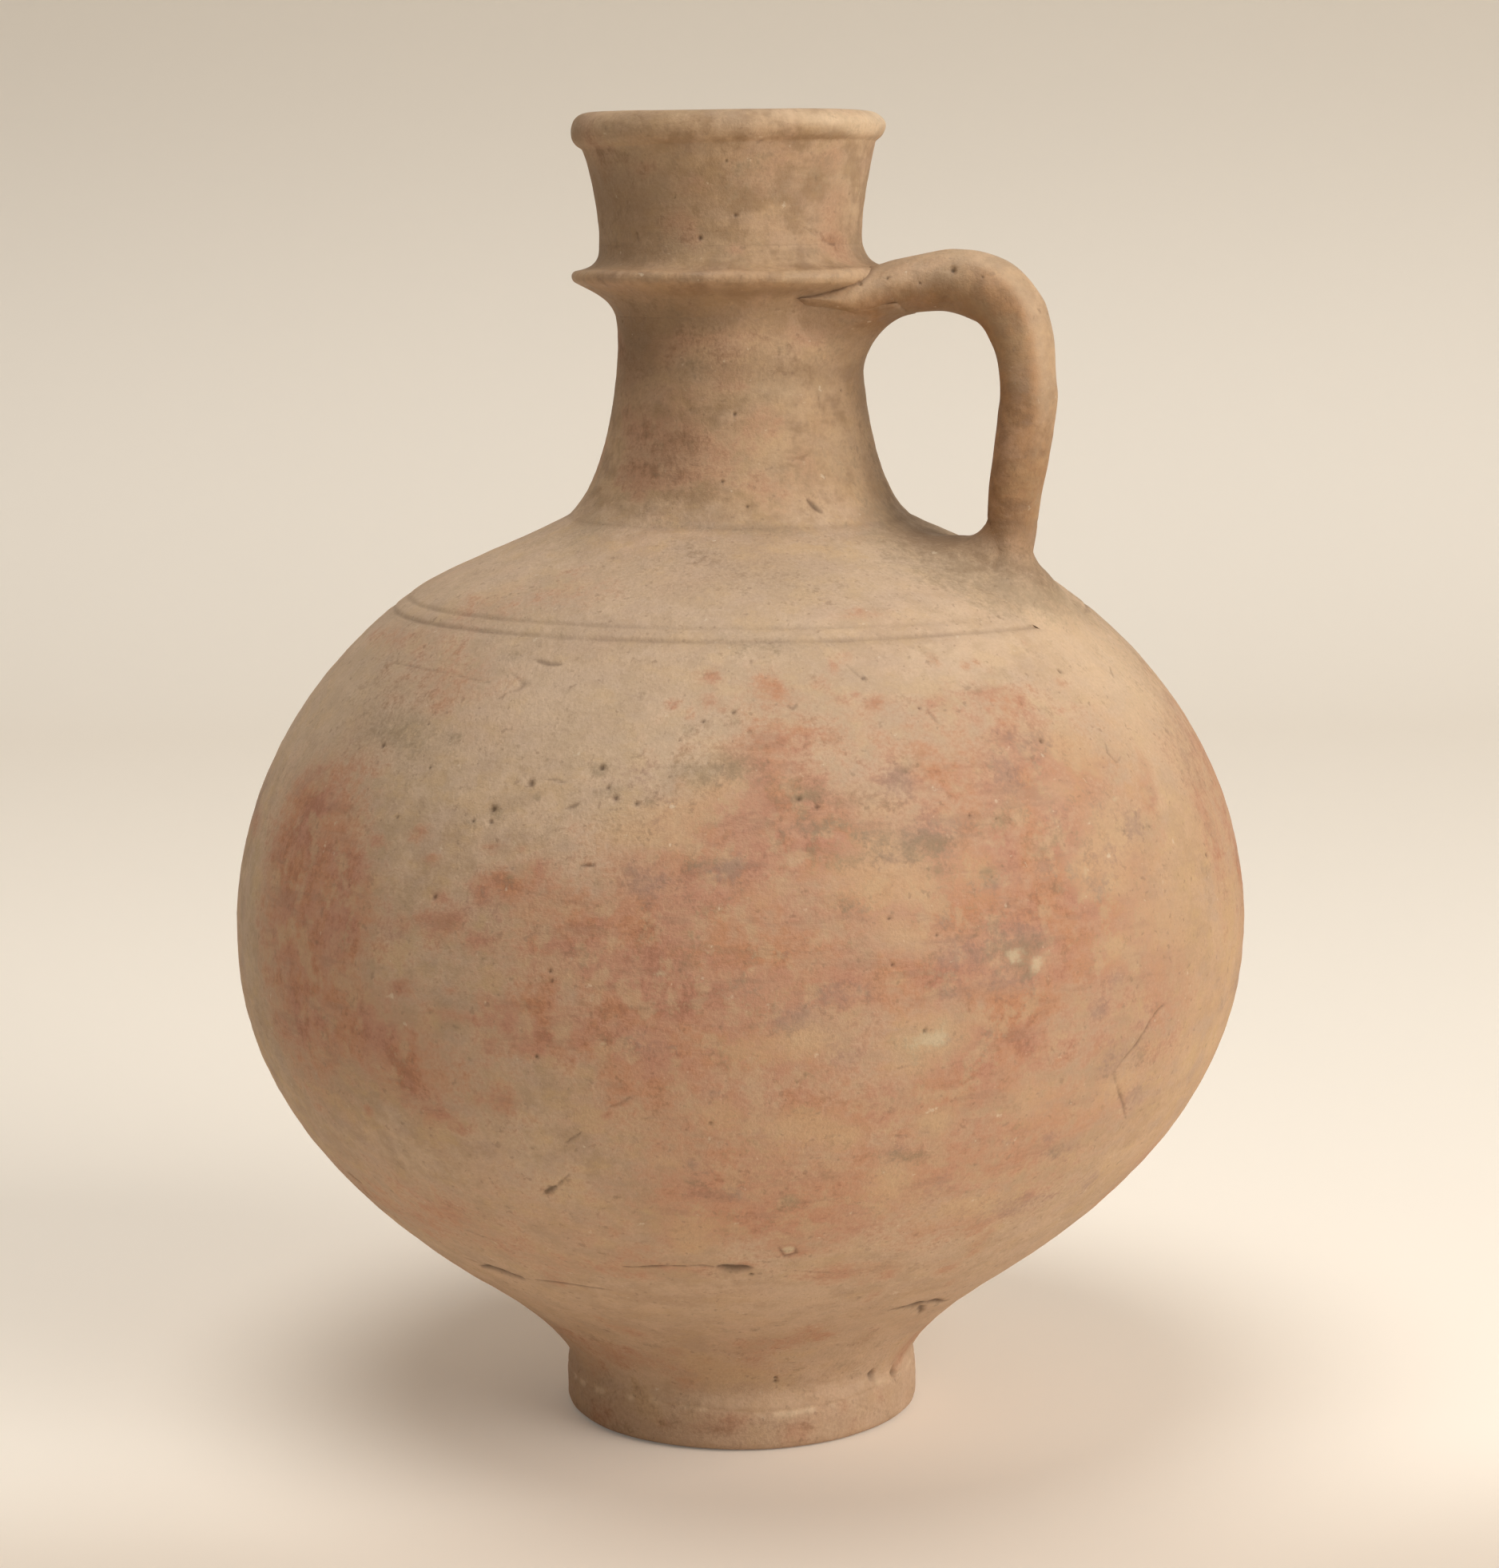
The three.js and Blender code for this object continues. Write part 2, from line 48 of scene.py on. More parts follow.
# Corners of the outside, as the solids have them: radius and height from the table up
FOOT_WAIST = 40.2, 12.5
FOOT_SEAM = FOOT_SEAM_R, FOOT_SEAM_Z = 63.6, 36.0
GIRTH = GIRTH_R, GIRTH_Z = 114.6, 115.0
CONE = _, CONE_Z = 73.1, 190.0
NECK_SEAM = _, NECK_SEAM_Z = 38.8, 206.5
NECK_WAIST = _, NECK_WAIST_Z = 27.6, 246.0
COLLAR_BASE = _, COLLAR_BASE_Z = 28.1, 251.0
COLLAR_TOP = _, COLLAR_TOP_Z = 29.6, 266.5
LIP_R, LIP_Z = 35.1, 296.2
FOOT_R = 40.8

# Heights of the floor and of the mouth's joint inside the collar
FLOOR_Z = 22.0
MOUTH_Z = 258.0

# How far the foot's flare and the shoulder lean outward, in degrees from upright
FLARE_LEAN = 55.7
CONE_LEAN = -54.4
FLARE_SLOPE = math.tan(math.radians(FLARE_LEAN))

# Walls, laps and the fans of faces round the axis
WALL = 6.0
BORE_R = 22.6
LAP_R = 25.8
NECK_HOLE_R = 34.3
RING_BORE_R = 31.3
SLIP = 0.3
LAP_IN = 3.0
FAN_R = 2.0
TONGUE_HIGH = 4.0
SPIGOT_LONG = 4.0
SPIGOT_WALL = 4.0
SEAT_IN = 4.0
FLOOR_WALL = 7.0

# Handle
BEARING = math.radians(-24)
HANDLE_REACH = 69.0
HANDLE_FOOT_R = 65.0

# The skins stand back by this much, so that their relief stays inside the solids' box
STAND_BACK = 0.18
# Points nearer than this are one point
TOUCHING = 1e-3
# Faces this near to a pit or a crack are made finer
MARK_MARGIN = 0.9

rng = np.random.default_rng(11)
LATTICE = rng.random((32, 32, 32)) * 2 - 1


# Smooth noise

def noise(p, size, seed=0):
    """Smooth noise from -1 to 1 with lumps of about that size, at points p, both in millimetres."""
    q = np.asarray(p, float) / size + seed * np.array([3.7, 9.1, 5.3])
    cell = np.floor(q).astype(int)
    f = q - cell
    f = f * f * (3 - 2 * f)
    total = 0
    for i in (0, 1):
        for j in (0, 1):
            for k in (0, 1):
                w = np.abs(1 - i - f[:, 0]) * np.abs(1 - j - f[:, 1]) * np.abs(1 - k - f[:, 2])
                total = total + w * LATTICE[(cell[:, 0] + i) % 32, (cell[:, 1] + j) % 32, (cell[:, 2] + k) % 32]
    return total


def smoothstep(x, low, high):
    """0 below low and 1 above high, smooth between."""
    t = np.clip((x - low) / (high - low), 0, 1)
    return t * t * (3 - 2 * t)


def azimuth(p):
    """Degrees round the axis from the front, positive toward the handle's side."""
    return np.degrees(np.arctan2(p[:, 0] - wander(p[:, 2]), -p[:, 1]))


def wander(z):
    """How far the pieces stand off centre along X at a height."""
    stops = [0, FOOT_SEAM_Z, GIRTH_Z, CONE_Z, NECK_SEAM_Z, COLLAR_BASE_Z, COLLAR_TOP_Z, LIP_Z]
    return np.interp(z, stops, [-0.7, -1.0, 0, 0, 0.4, 1.1, -0.8, -1.0])


# Outlines

def cubic(a, b, c, d, count=160):
    """A smooth curve from a to d that is drawn toward b and c."""
    t = np.linspace(0, 1, count + 1)[:, None]
    a, b, c, d = (np.array(q, float) for q in (a, b, c, d))
    return (1 - t) ** 3 * a + 3 * (1 - t) ** 2 * t * b + 3 * (1 - t) * t * t * c + t ** 3 * d


def run(start, leave_lean, end, arrive_lean, pulls):
    """A smooth run of wall between two points that leaves and arrives at a lean from upright."""
    start, end = np.array(start, float), np.array(end, float)
    reach = np.hypot(*(end - start))
    leave = np.radians(leave_lean)
    arrive = np.radians(arrive_lean)
    a = start + reach * pulls[0] * np.array([np.sin(leave), np.cos(leave)])
    b = end - reach * pulls[1] * np.array([np.sin(arrive), np.cos(arrive)])
    return cubic(start, a, b, end, 240)


def tangents(curve):
    """The unit direction along a curve at each of its points."""
    along = np.gradient(curve, axis=0)
    return along / (np.hypot(*along.T)[:, None] + 1e-9)


def arc(cr, cz, radius, start, end, count=24):
    """Part of a circle round (cr, cz), from one angle to another in degrees."""
    t = np.radians(np.linspace(start, end, count + 1))
    return np.stack([cr + radius * np.cos(t), cz + radius * np.sin(t)], 1)


def spaced(points, step):
    """The points of a polyline again, as far apart as step says at each height."""
    points = np.array(points, float)
    length = np.hypot(*np.diff(points, axis=0).T)
    load = np.concatenate([[0], np.cumsum(length / step((points[1:, 1] + points[:-1, 1]) / 2))])
    at = np.linspace(0, load[-1], max(2, int(round(load[-1]))) + 1)
    return np.stack([np.interp(at, load, points[:, k]) for k in (0, 1)], 1)


def even(step):
    """The same step at every height."""
    return lambda z: np.full(np.shape(z), step)


def skin_step(z):
    """How far apart the skin's rows are at a height: closer at the incised lines."""
    z = np.asarray(z, float)
    step = np.full(z.shape, 1.2)
    step = np.where((z > 183) & (z < 191.2), 0.42, step)
    step = np.where((z > 6.5) & (z < 12.5), 0.35, step)
    step = np.where((z > 204) & (z < 209), 0.5, step)
    return np.where(z > 209.5, 0.7, step)


foot_flare = run(FOOT_WAIST, 0, FOOT_SEAM, FLARE_LEAN, (0.08, 0.62))
bowl = run(FOOT_SEAM, FLARE_LEAN, GIRTH, 0, (0.638, 0.155))
dome = run(GIRTH, 0, CONE, CONE_LEAN, (0.173, 0.528))
cone = run(CONE, CONE_LEAN, NECK_SEAM, -57.3, (0.245, 0.18))
neck_rise = run(NECK_SEAM, -54, NECK_WAIST, 0, (0.234, 0.325))
neck_top = run(NECK_WAIST, 0, COLLAR_BASE, 10, (0.4, 0.4))
tip = arc(34.9, 259.65, 1.8, -60, 80)
under_collar = run(COLLAR_BASE, 12, tip[0], 60, (0.35, 0.42))
over_collar = run(tip[-1], -80, COLLAR_TOP, -8, (0.42, 0.5))
collar_form = np.vstack([under_collar, tip[1:], over_collar[1:]])
roll = arc(31.1, 292.05, 4.0, -54, 78)
crown = run(roll[-1], -78, (LIP_R - 6.2, LIP_Z), -90, (0.35, 0.35))
roll_foot = np.array([(roll[0][0] - 0.75, roll[0][1] - 0.5), roll[0]])
mouth_wall = run(COLLAR_TOP, -5, roll_foot[0], 17, (0.25, 0.3))
lip_inside = run((LIP_R - 6.2, LIP_Z), -90, (LIP_R - 8.6, LIP_Z - 3.2), 180, (0.4, 0.5))
funnel = run(lip_inside[-1], 182, (BORE_R, COLLAR_TOP_Z), 194, (0.35, 0.3))


class Outline:
    """A closed outline of one turned piece: stretches of skin, which get relief, and hidden ones."""

    def __init__(self):
        self.points, self.normals, self.skin, self.corners = [], [], [], {0}

    def add(self, points, skin=1.0, step=None):
        points = np.array(points, float)
        if step is not None:
            points = spaced(points, step)
        tangent = tangents(points)
        normal = np.stack([tangent[:, 1], -tangent[:, 0]], 1)
        self.corners.add(max(0, len(self.points) - 1))
        if self.points and np.hypot(*(self.points[-1] - points[0])) < TOUCHING:
            if skin > self.skin[-1]:
                self.normals[-1], self.skin[-1] = normal[0], skin
            points, normal = points[1:], normal[1:]
        self.points += list(points)
        self.normals += list(normal)
        self.skin += [skin] * len(points)

    def hide(self, *points, step=None):
        """Adds a stretch that other pieces or the inside hide."""
        self.add(points, 0, step)

    def close(self):
        if np.hypot(*(self.points[-1] - self.points[0])) < TOUCHING:
            last = (self.points.pop(), self.normals.pop(), self.skin.pop())
            if last[2] > self.skin[0]:
                self.normals[0], self.skin[0] = last[1], last[2]
        return self


# Marks and stains on the surface, each placed by degrees from the front and millimetres above the table

def table(text):
    """Rows of numbers from a text that has a comma after each row."""
    return [[float(v) for v in row.split()] for row in text.split(",")]


# Each pit: degrees, height and radius
PITS = table("""
    -48.8 164 .7, -24.4 160 .8, -16 163.4 .8, -11.4 157 .65, -30.6 152.1 .6, -28.4 154.7 .9,
    -28.3 152.2 .6, -14.9 159.8 .7, -13.8 158 .7, 50.7 177.2 .8, 59.2 185.9 .6, -12.8 268.1 .55,
    2.4 272.8 .5, -41.4 151.2 .5, -39 161.2 .45, -33.7 136.8 .6, 6.8 157.7 .7, 8.7 156.1 .6,
    15.4 134.5 .55, 39.6 165.1 .6, 15.5 125.4 .45, -19.4 124.3 .5, -19.2 122.3 .5, 20.4 130.6 .4,
    -4.3 172.2 .5, -.5 173.9 .7, 17.4 179.4 .5, 18.8 111.6 .6, 10.4 17.6 .6, 10.6 16.6 .6, 47.3 13.4 1.25,
    60.5 11.7 1.5, -3 93.9 .6, -20.9 106.7 .6, 1.7 55.2 .6, 64.1 136.1 .6, -7 168.9 .4, 26.3 152.9 .4
""")

# Each crack: its half width and depth in millimetres, how dark it is, then its points
CRACKS = table("""
    .16 .12 .35 -67.5 179.1 -52.3 178.9 -42.9 178.6 -36.1 177.9,
    .35 .22 .35 -33 179.6 -30.9 178.5 -30.3 177.8 -30.8 176.9 -31.8 176.2,
    .35 .3 .6 -30.5 182.5 -27.9 181.8 -25.9 181.7,
    .4 .35 .8 25.9 211.6 27.6 210.4 30.4 209,
    .2 .2 .35 24.9 174.1 25 172.1 25.5 170.6 26.5 169.3,
    .22 .2 .4 50.7 163.4 50 160.9 50.8 159 52 159.5,
    .22 .28 .6 53 110.1 49.3 106.8 47 101.5 44.7 98.3 43.6 96,
    .23 .3 .6 43.6 96 45.5 91.4 47.4 87.5 49 83.9,
    .95 .8 1 -44.9 48.1 -41.5 48.7 -38.8 48 -36.1 47.3,
    .2 .3 .6 -47.5 50 -44.5 49.6 -41.5 48.7,
    .26 .35 .8 -35.6 47.5 -27 48.6 -19.8 48.2,
    .26 .35 .8 -15.8 56.3 -10.6 57.3 -6.1 57.9,
    .8 .7 1 -2.6 57.5 -.5 57 1.7 57.2,
    .2 .25 .6 -6.1 57.9 -2.6 57.5,
    1 .8 1 30.2 37.8 34.2 37.6 36.8 37.3 38.6 37.3,
    .9 .7 1 37.2 37.2 40 37.4 42.4 36.4 45.6 35.2,
    .6 .5 .8 37.9 36.8 40.6 34.6 43.9 31.8,
    .5 .5 .8 43.2 36.1 46 35 49.5 34.4,
    .35 .4 .6 4.9 62.9 5.9 60.4 7.3 61.1 7 62.7,
    .4 .4 .9 -22.7 75.1 -20.9 77.3,
    .25 .3 .6 -20.9 77.3 -18.9 80.5,
    .25 .25 .5 -18.5 88.2 -17.5 90.1 -16.7 91.1,
    .22 .15 .35 -13.7 96.8 -11.6 98.6 -10.3 99.8,
    .3 .25 .7 -16.8 144.9 -15.4 145.1,
    .2 .15 .45 -22.6 160.8 -19.3 160.4,
    .3 .3 .3 42 269.2 43.5 267.5 47.1 266.8 51.4 266.8,
    .3 .3 .3 -44.1 269.6 -42.5 267.8,
    .25 .2 .15 32.5 270.1 41.1 268.3,
    .22 .2 .5 64.3 175.7 62.6 173.8,
    .2 .15 .35 15.7 182.1 17.2 179.4,
    .25 .2 .5 6.4 175.2 7.1 174.3 7.8 175.2,
    .5 .5 .8 -61.5 66.7 -59 65.4,
    .3 .25 .2 17.6 221.1 26.1 220.4 30 221.5,
    .25 .2 .25 25.3 215.7 27.6 214.4,
    .3 .25 .6 -19.2 155.8 -18.1 156.5,
    .15 .12 .35 -43.8 63.3 -37.3 60.2 -29.9 58.8,
    .15 .15 .35 5.5 56.2 12.3 54.8 17.2 53.2
""")

# Each stain: degrees, height, half its spread in degrees and in millimetres, and its strength.
# Rust red slip
ROSE = table("""
    -55 142 7 15 .8, -48 132 4 10 1, -55 117 5 19 .9, -50 107 6 8 .8, -43 108 6 8 .9, -38 101 4 7 .9,
    -59 131 6 19 .7, -60 146 5 7 .8, -26 140 2.4 2 1, -28 138 1.2 2 .9, -23 136 3 4 .45, -19 138 3 4 .45,
    -22 129 3 3 .35, -22 116 2 2 1, -20 113 1.2 5 1, -24 114 1 2 1, -22 109 2 1.5 .9, -31 113 2 1.3 .6,
    -27 113 2 1.3 .7, -16 111 2.2 3 .8, -26 108 1 1.5 .6, -33 131 2 3 .4, -14 132 4 5 .55, -18 127 3 3 .5,
    -5 140 5 9 .9, -9 132 6 8 .9, -11 121 4 7 .8, -6 117 5 10 .9, -8 104 4 6 .9, -12 106 2 5 .6,
    -2 131 5 8 .7, 1 149 8 7 .7, 3 158 4 7 .8, 4 177 3 3 .45, 3 166 3 4 .6, -2 157 4 3 .6, 10 149 5 5 .8,
    8 156 5 4 .6, 18 175 2 1.3 .35, 28 175 3 1.6 .3, 36 175 3 2 .5, 25 161 6 5 .4, 36 161 7 7 .6,
    43 156 6 9 .45, 23 153 4 3 .5, 32 149 7 5 .6, 27 142 8 6 .6, 21 135 5 5 .7, 14 138 3 3 .8,
    36 134 7 8 .6, 6 129 6 5 .6, 3 121 5 6 .7, 10 121 5 4 .8, 19 122 6 3 .8, 27 128 5 6 .6, 37 121 5 7 .8,
    30 118 6 4 .8, 27 110 3 7 .8, 24 101 4 5 .8, 19 97 5 3 .6, 31 106 3 7 .5, -6 91 5 7 .35, 3 91 7 7 .4,
    10 94 8 5 .4, 0 107 5 5 .35, 7 105 4 4 .5, -3 76 6 6 .7, 2 70 8 5 .8, 12 75 8 7 .6, 23 81 7 7 .5,
    35 83 6 11 .45, 31 64 8 5 .5, -57 62 12 6 .35, -42 62 9 4 .25, -31 57 12 4 .25, -11 56 10 3 .4,
    15 55 7 3 .5, 68 138 3 12 .6, 44 134 5 9 .55, 48 111 8 17 .25, -29 222 19 5 .55, -22 216 13 3 .4,
    -45 216 13 3 .4, -36 245 15 4 .5, -14 247 22 2 .4, -49 190 12 3 .35, -34 195 10 3 .3, 21 191 4 1 .5,
    -63 183 13 3 .4, -43 176 6 4 .4, 29 218 7 5 .4, -20 5 14 3 .12, 20 4 18 2.5 .12, -35 22 16 3 .5,
    5 20 14 3 .3, 70 60 8 8 .5, 5 177 2 1.6 .45, 18 175 1.2 1.2 .4, 26 174 1.5 1.2 .4, 34 175 2 1.3 .4,
    -32 132 2 2 .6, -35 132 1.5 1.5 .5, -33 137 1 1 .6, -38 131 1.5 2 .5, 54 150 1.5 5 .7,
    56 157 1.2 3 .5, 14 140 30 24 .4, 8 108 26 22 .42, 12 76 26 14 .32, 36 142 14 26 .4, -52 122 10 28 .4,
    40 92 12 14 .25, -38 66 22 8 .25, 52 118 7 14 .4, -20 122 12 14 .25, -34 100 9 8 .3, 18 170 22 6 .2,
    -50 178 16 5 .2
""")
# Greenish grey growth
GREEN = table("""
    99 201 51 5 .6, 84 206 42 4 .6, 50 197 11 4 .8, 64 191 13 3 .7, 72 186 10 2.5 .7, 80 214 22 8 .6,
    88 237 20 13 .5, 42 221 13 7 .3, -48 168 7 5 .6, -57 173 8 6 .4, -5 165 3 3 .7, -2 163 3 2 .5,
    -53 205 12 2 .6, 81 172 11 11 .5, 71 158 6 10 .4, -17 201 14 2 .2, 12 195 3 1 .4, 10 206 15 1 .5,
    -19 207 16 1 .4, -12 150 5 9 .15, 53 280 17 9 .3, 13 284 19 3 .35, -49 270 16 5 .3, 78 266 14 3 .5,
    -44 254 19 2 .6, 62 250 24 2 .3, -18 125 1 3 .4, 6 103 1 2 .3, 66 197 12 5 .9, 56 192 8 4 .7,
    20 148.5 4.5 3.5 .85, 8 152 5 2 .8, -1 163.5 4 3 .8, 8 157.5 2.5 1.6 .9, 15 158 3 2 .6,
    30 152 4 1.8 .6, 16 151 3 2.5 .6, 11 146 5 1.8 .5, 5 160 3 1.8 .6, 30 124 3 3 .8, 19 84 2.4 1.6 .9,
    19 109 3.4 3.4 .55, 63 134 1.4 2.2 .7, 12 130 1.5 1.5 .6, 26 131 2 2 .5, -28 154 1.5 1.3 .8,
    -31 151.7 1.3 1.1 .7, -16 163.4 1.3 1.1 .8, -14 159.5 2.2 1.3 .7, -46 165 6 5 .5, 6 81 2 1.2 .5,
    -7 99 2 2 .4, 3 186 9 2.5 .4, -3 172 3 2 .4, 60 201 9 5 .8, 72 200 12 6 .7, 48 204 9 4 .5,
    62 192 9 4 .6, 76 193 8 5 .5
""")
# Greyish lilac film
LILAC = table("""
    20 151 5 4 .7, 26 126 4 5 .6, 31 128 2 3 .7, 28 120 4 2 .8, 26 139 5 2 .5, 39 151 5 3 .5,
    38 166 4 2 .5, 11 120 3 3 .7, 8 152 4 2 .5, 4 116 2 2 .5, 32 67 5 3 .6, 18 86 2 2 .6, 40 68 5 2 .4,
    38 141 3 3 .4, -2 146 3 5 .35, -28 135 4 5 .3, -38 128 2 2 .3, -40 131 3 5 .2
""")
# Bare tan clay
TAN = table("""
    15 148 3 6 .8, 17 140 3 4 .7, 16 130 4 4 .5, 19 108 4 7 .9, 0 110 4 4 .5, 9 113 4 4 .4, 33 93 5 7 .5,
    53 126 9 15 .6, 51 159 9 8 .4, 2 140 3 3 .4
""")
# Brown patina of handling: neck, collar, mouth and foot. The rows at -62 276 and -62 246 are painted
# shade with dirt on the left of the mouth and neck, and the row at 12 256.9 is a painted shadow with
# dirt under the collar's tip.
PATINA_AND_SHADE = table("""
    -62 276 34 16 .6, -25 274 22 10 .2, -62 246 36 13 .6, -45 222 24 14 .16, -8 252 34 5 .4,
    50 250 26 5 .4, -58 14 30 22 .12, 0 5 60 5 .34, 78 256 9 7 .5, 84 226 18 22 .42, 68 199 13 5 .85,
    60 203 10 4 .6, 76 201 12 4 .5, 62 199 8 3.5 .4, -75 60 16 16 .3, 140 262 60 18 .4, -130 268 50 16 .5,
    180 230 50 20 .35, 200 16 70 12 .4, -31 221 13 5 .38, 30 239 16 3 .35, 0 240 40 3 .25, 0 198 26 6 .28,
    62 212 14 6 .2, 12 256.9 34 1.1 .6
""")
# Pale wear: the lip, the collar's edge, the line round the foot. The rows at 62 292.5 and 76 293 are a
# painted highlight on the lip's right end, the row at 62 278 is painted light on the mouth's right side,
# and the collar's edge at 0 260.5 is wear with a painted highlight.
WEAR_AND_HIGHLIGHT = table("""
    0 296 200 3 .28, 62 292.5 20 3 .9, 30 294 16 3 .3, 0 260.5 200 1 .3, 66 175 14 14 .5, 60 150 8 12 .2,
    40 186 20 6 .25, -10 12 14 1.6 .25, 8 11 10 1.2 .2, 76 293 14 3 .9, 48 293.5 14 2.4 .55,
    62 278 18 12 .3, 54 212 20 8 .15
""")
# Cream flakes of lime
CREAM = table("""
    29.2 124.6 1.1 1.5 .8, 31.9 122.4 1 1.8 .9, 26 131 .9 .8 .45, 40 139.5 .5 .9 .7, 48 152 1.1 .9 .45,
    19 108.6 2.6 4.6 .5, 6.1 62.2 .9 1 .95, 20 109.5 1 1 .6, -8 124.4 .8 1.2 .5, -3 129 .8 1 .4,
    6 80.7 .7 .6 .5, -1 121 1.1 1.5 .4, 14 110 .5 .5 .5, -14 110 .6 .8 .4
""")


def strewn(count, low, high, widths, heights):
    """Stains scattered between two heights over the sides and the back, which the photograph doesn't show."""
    rows = []
    for _ in range(count):
        side = rng.uniform(78, 282)
        rows.append((side if side <= 180 else side - 360, rng.uniform(low, high), rng.uniform(*widths),
                     rng.uniform(*heights), rng.uniform(0.4, 0.95)))
    return rows


ROSE += strewn(70, 50, 178, (2, 8), (3, 11)) + strewn(8, 212, 245, (8, 20), (2, 5))
ROSE += strewn(9, 60, 160, (12, 26), (12, 26))
GREEN += strewn(16, 120, 205, (4, 12), (2, 7)) + strewn(5, 230, 290, (8, 16), (3, 8))
LILAC += strewn(24, 60, 165, (2, 6), (2, 5))
TAN += strewn(14, 70, 165, (3, 9), (4, 12))
CREAM += strewn(16, 60, 170, (0.6, 1.4), (0.8, 1.8))


def sprinkled(count, box, sizes, radius=100, most=0.9):
    """Small spots scattered over a part of the front: box in degrees and heights, sizes in millimetres."""
    rows = []
    for _ in range(count):
        size = rng.uniform(*sizes)
        rows.append((rng.uniform(*box[:2]), rng.uniform(*box[2:]), math.degrees(size / radius),
                     size * rng.uniform(0.45, 0.9), rng.uniform(0.35, most)))
    return rows


GREEN += sprinkled(46, (-14, 52, 70, 178), (0.9, 2.6)) + sprinkled(26, (-52, -6, 120, 184), (0.6, 1.8))
LILAC += sprinkled(60, (-12, 54, 64, 165), (1.6, 4.5))
ROSE += sprinkled(40, (-46, -8, 88, 150), (0.8, 3.0)) + sprinkled(30, (-10, 50, 160, 184), (0.8, 2.4), most=0.5)
ROSE += sprinkled(22, (-50, 50, 44, 70), (1.5, 4), 90, 0.55)
ROSE += sprinkled(18, (-60, 65, 12, 34), (2, 5), 45, 0.55)
ROSE += sprinkled(12, (-60, 65, 1, 9), (2, 5), 41, 0.36)
ROSE += sprinkled(12, (-60, 55, 264, 288), (2.5, 6), 32, 0.36)
ROSE += sprinkled(14, (-60, 40, 210, 248), (2.5, 6), 30, 0.45)
GREEN += sprinkled(12, (-58, 60, 8, 36), (1.2, 3), 45, 0.6)
GREEN += sprinkled(20, (-60, 55, 262, 290), (1.5, 4), 32, 0.6)
GREEN += sprinkled(16, (-60, 50, 238, 254), (1.5, 4), 30, 0.6)
TAN += sprinkled(34, (-14, 50, 64, 165), (3, 9)) + sprinkled(10, (-60, 65, 2, 34), (3, 7), 45)


def blobs(az, z, warp, rows):
    """How strongly a list of stains lies at each place, from 0 to 1. The larger ones are warped more."""
    clear = np.ones_like(z)
    for a, h, wa, wh, w in rows:
        share = min(1.0, wh / 5)
        turn = (az + share * warp[0] - a + 180) % 360 - 180
        d = (turn / wa) ** 2 + ((z + share * warp[1] - h) / wh) ** 2
        near = d < 6
        clear[near] *= 1 - w * np.exp(-0.8 * d[near])
    return 1 - clear


def from_axis(p):
    """How far points lie from the axis of the piece at their height."""
    return np.hypot(p[:, 0] - wander(p[:, 2]), p[:, 1])


def off_wall(p):
    """How far points lie outward from the jug's even wall."""
    return from_axis(p) - np.interp(p[:, 2], WALL_Z, WALL_R)


def surface_place(az, z):
    """A place on the outer wall as a point."""
    r = np.interp(z, WALL_Z, WALL_R)
    a = np.radians(az)
    return np.stack([wander(z) + r * np.sin(a), -r * np.cos(a), z + 0 * r], -1)


outer_wall = np.vstack([
    [(FOOT_R, 0), (FOOT_R, 12)], foot_flare, bowl[1:], dome[1:], cone[1:], neck_rise[1:], neck_top[1:],
    [COLLAR_TOP], mouth_wall[1:],
])
WALL_Z, WALL_R = outer_wall[:, 1], outer_wall[:, 0]

# Each crack as short segments: half width, depth, darkness and two ends
crack_segments = []
for half, depth, gloom, *places in CRACKS:
    places = np.array(places).reshape(-1, 2)
    finer = np.linspace(0, len(places) - 1, (len(places) - 1) * 4 + 1)
    places = np.stack([np.interp(finer, np.arange(len(places)), places[:, k]) for k in (0, 1)], 1)
    path = surface_place(places[:, 0], places[:, 1])
    path = path + 0.3 * np.stack([noise(path, 2.2, s) for s in (1, 2, 3)], 1)
    along = (np.arange(len(path) - 1) + 0.5) / (len(path) - 1)
    swell = (0.4 + 0.8 * np.sin(np.pi * along)) * (1 + 0.5 * noise(path[:-1], 1.7, 13))
    for a, b, wide in zip(path[:-1], path[1:], swell):
        crack_segments.append((half * wide, depth * min(1, wide), gloom * min(1, 0.3 + wide), a, b))
pit_places = [(1.05 * radius, surface_place(np.array(az), np.array(z))) for az, z, radius in PITS]
for _ in range(60):
    az = rng.uniform(0, 360)
    z = rng.choice([rng.uniform(45, 185), rng.uniform(210, 285)])
    pit_places.append((rng.uniform(0.22, 0.5), surface_place(np.array(az), np.array(z))))
# Pits on the handle: radius, then X, Y and Z
pit_places += [(radius, np.array(place)) for radius, *place in table("""
    1.05 46.9 -28.7 260.6, .6 27.3 -24.4 258, .45 33.1 -24.9 259.2, .4 40 -26.9 258.2, .4 53.3 -31.2 259.3,
    .4 59.3 -33 209.3
""")]


def near_marks(p, margin):
    """Which points lie within a margin of a pit or a crack."""
    close = np.zeros(len(p), bool)
    for half, _, _, a, b in crack_segments:
        mid = (a + b) / 2
        reach = np.linalg.norm(b - a) / 2 + half + margin
        close |= ((p - mid) ** 2).sum(1) < reach * reach
    for radius, place in pit_places:
        close |= ((p - place) ** 2).sum(1) < (1.6 * radius + margin) ** 2
    return close


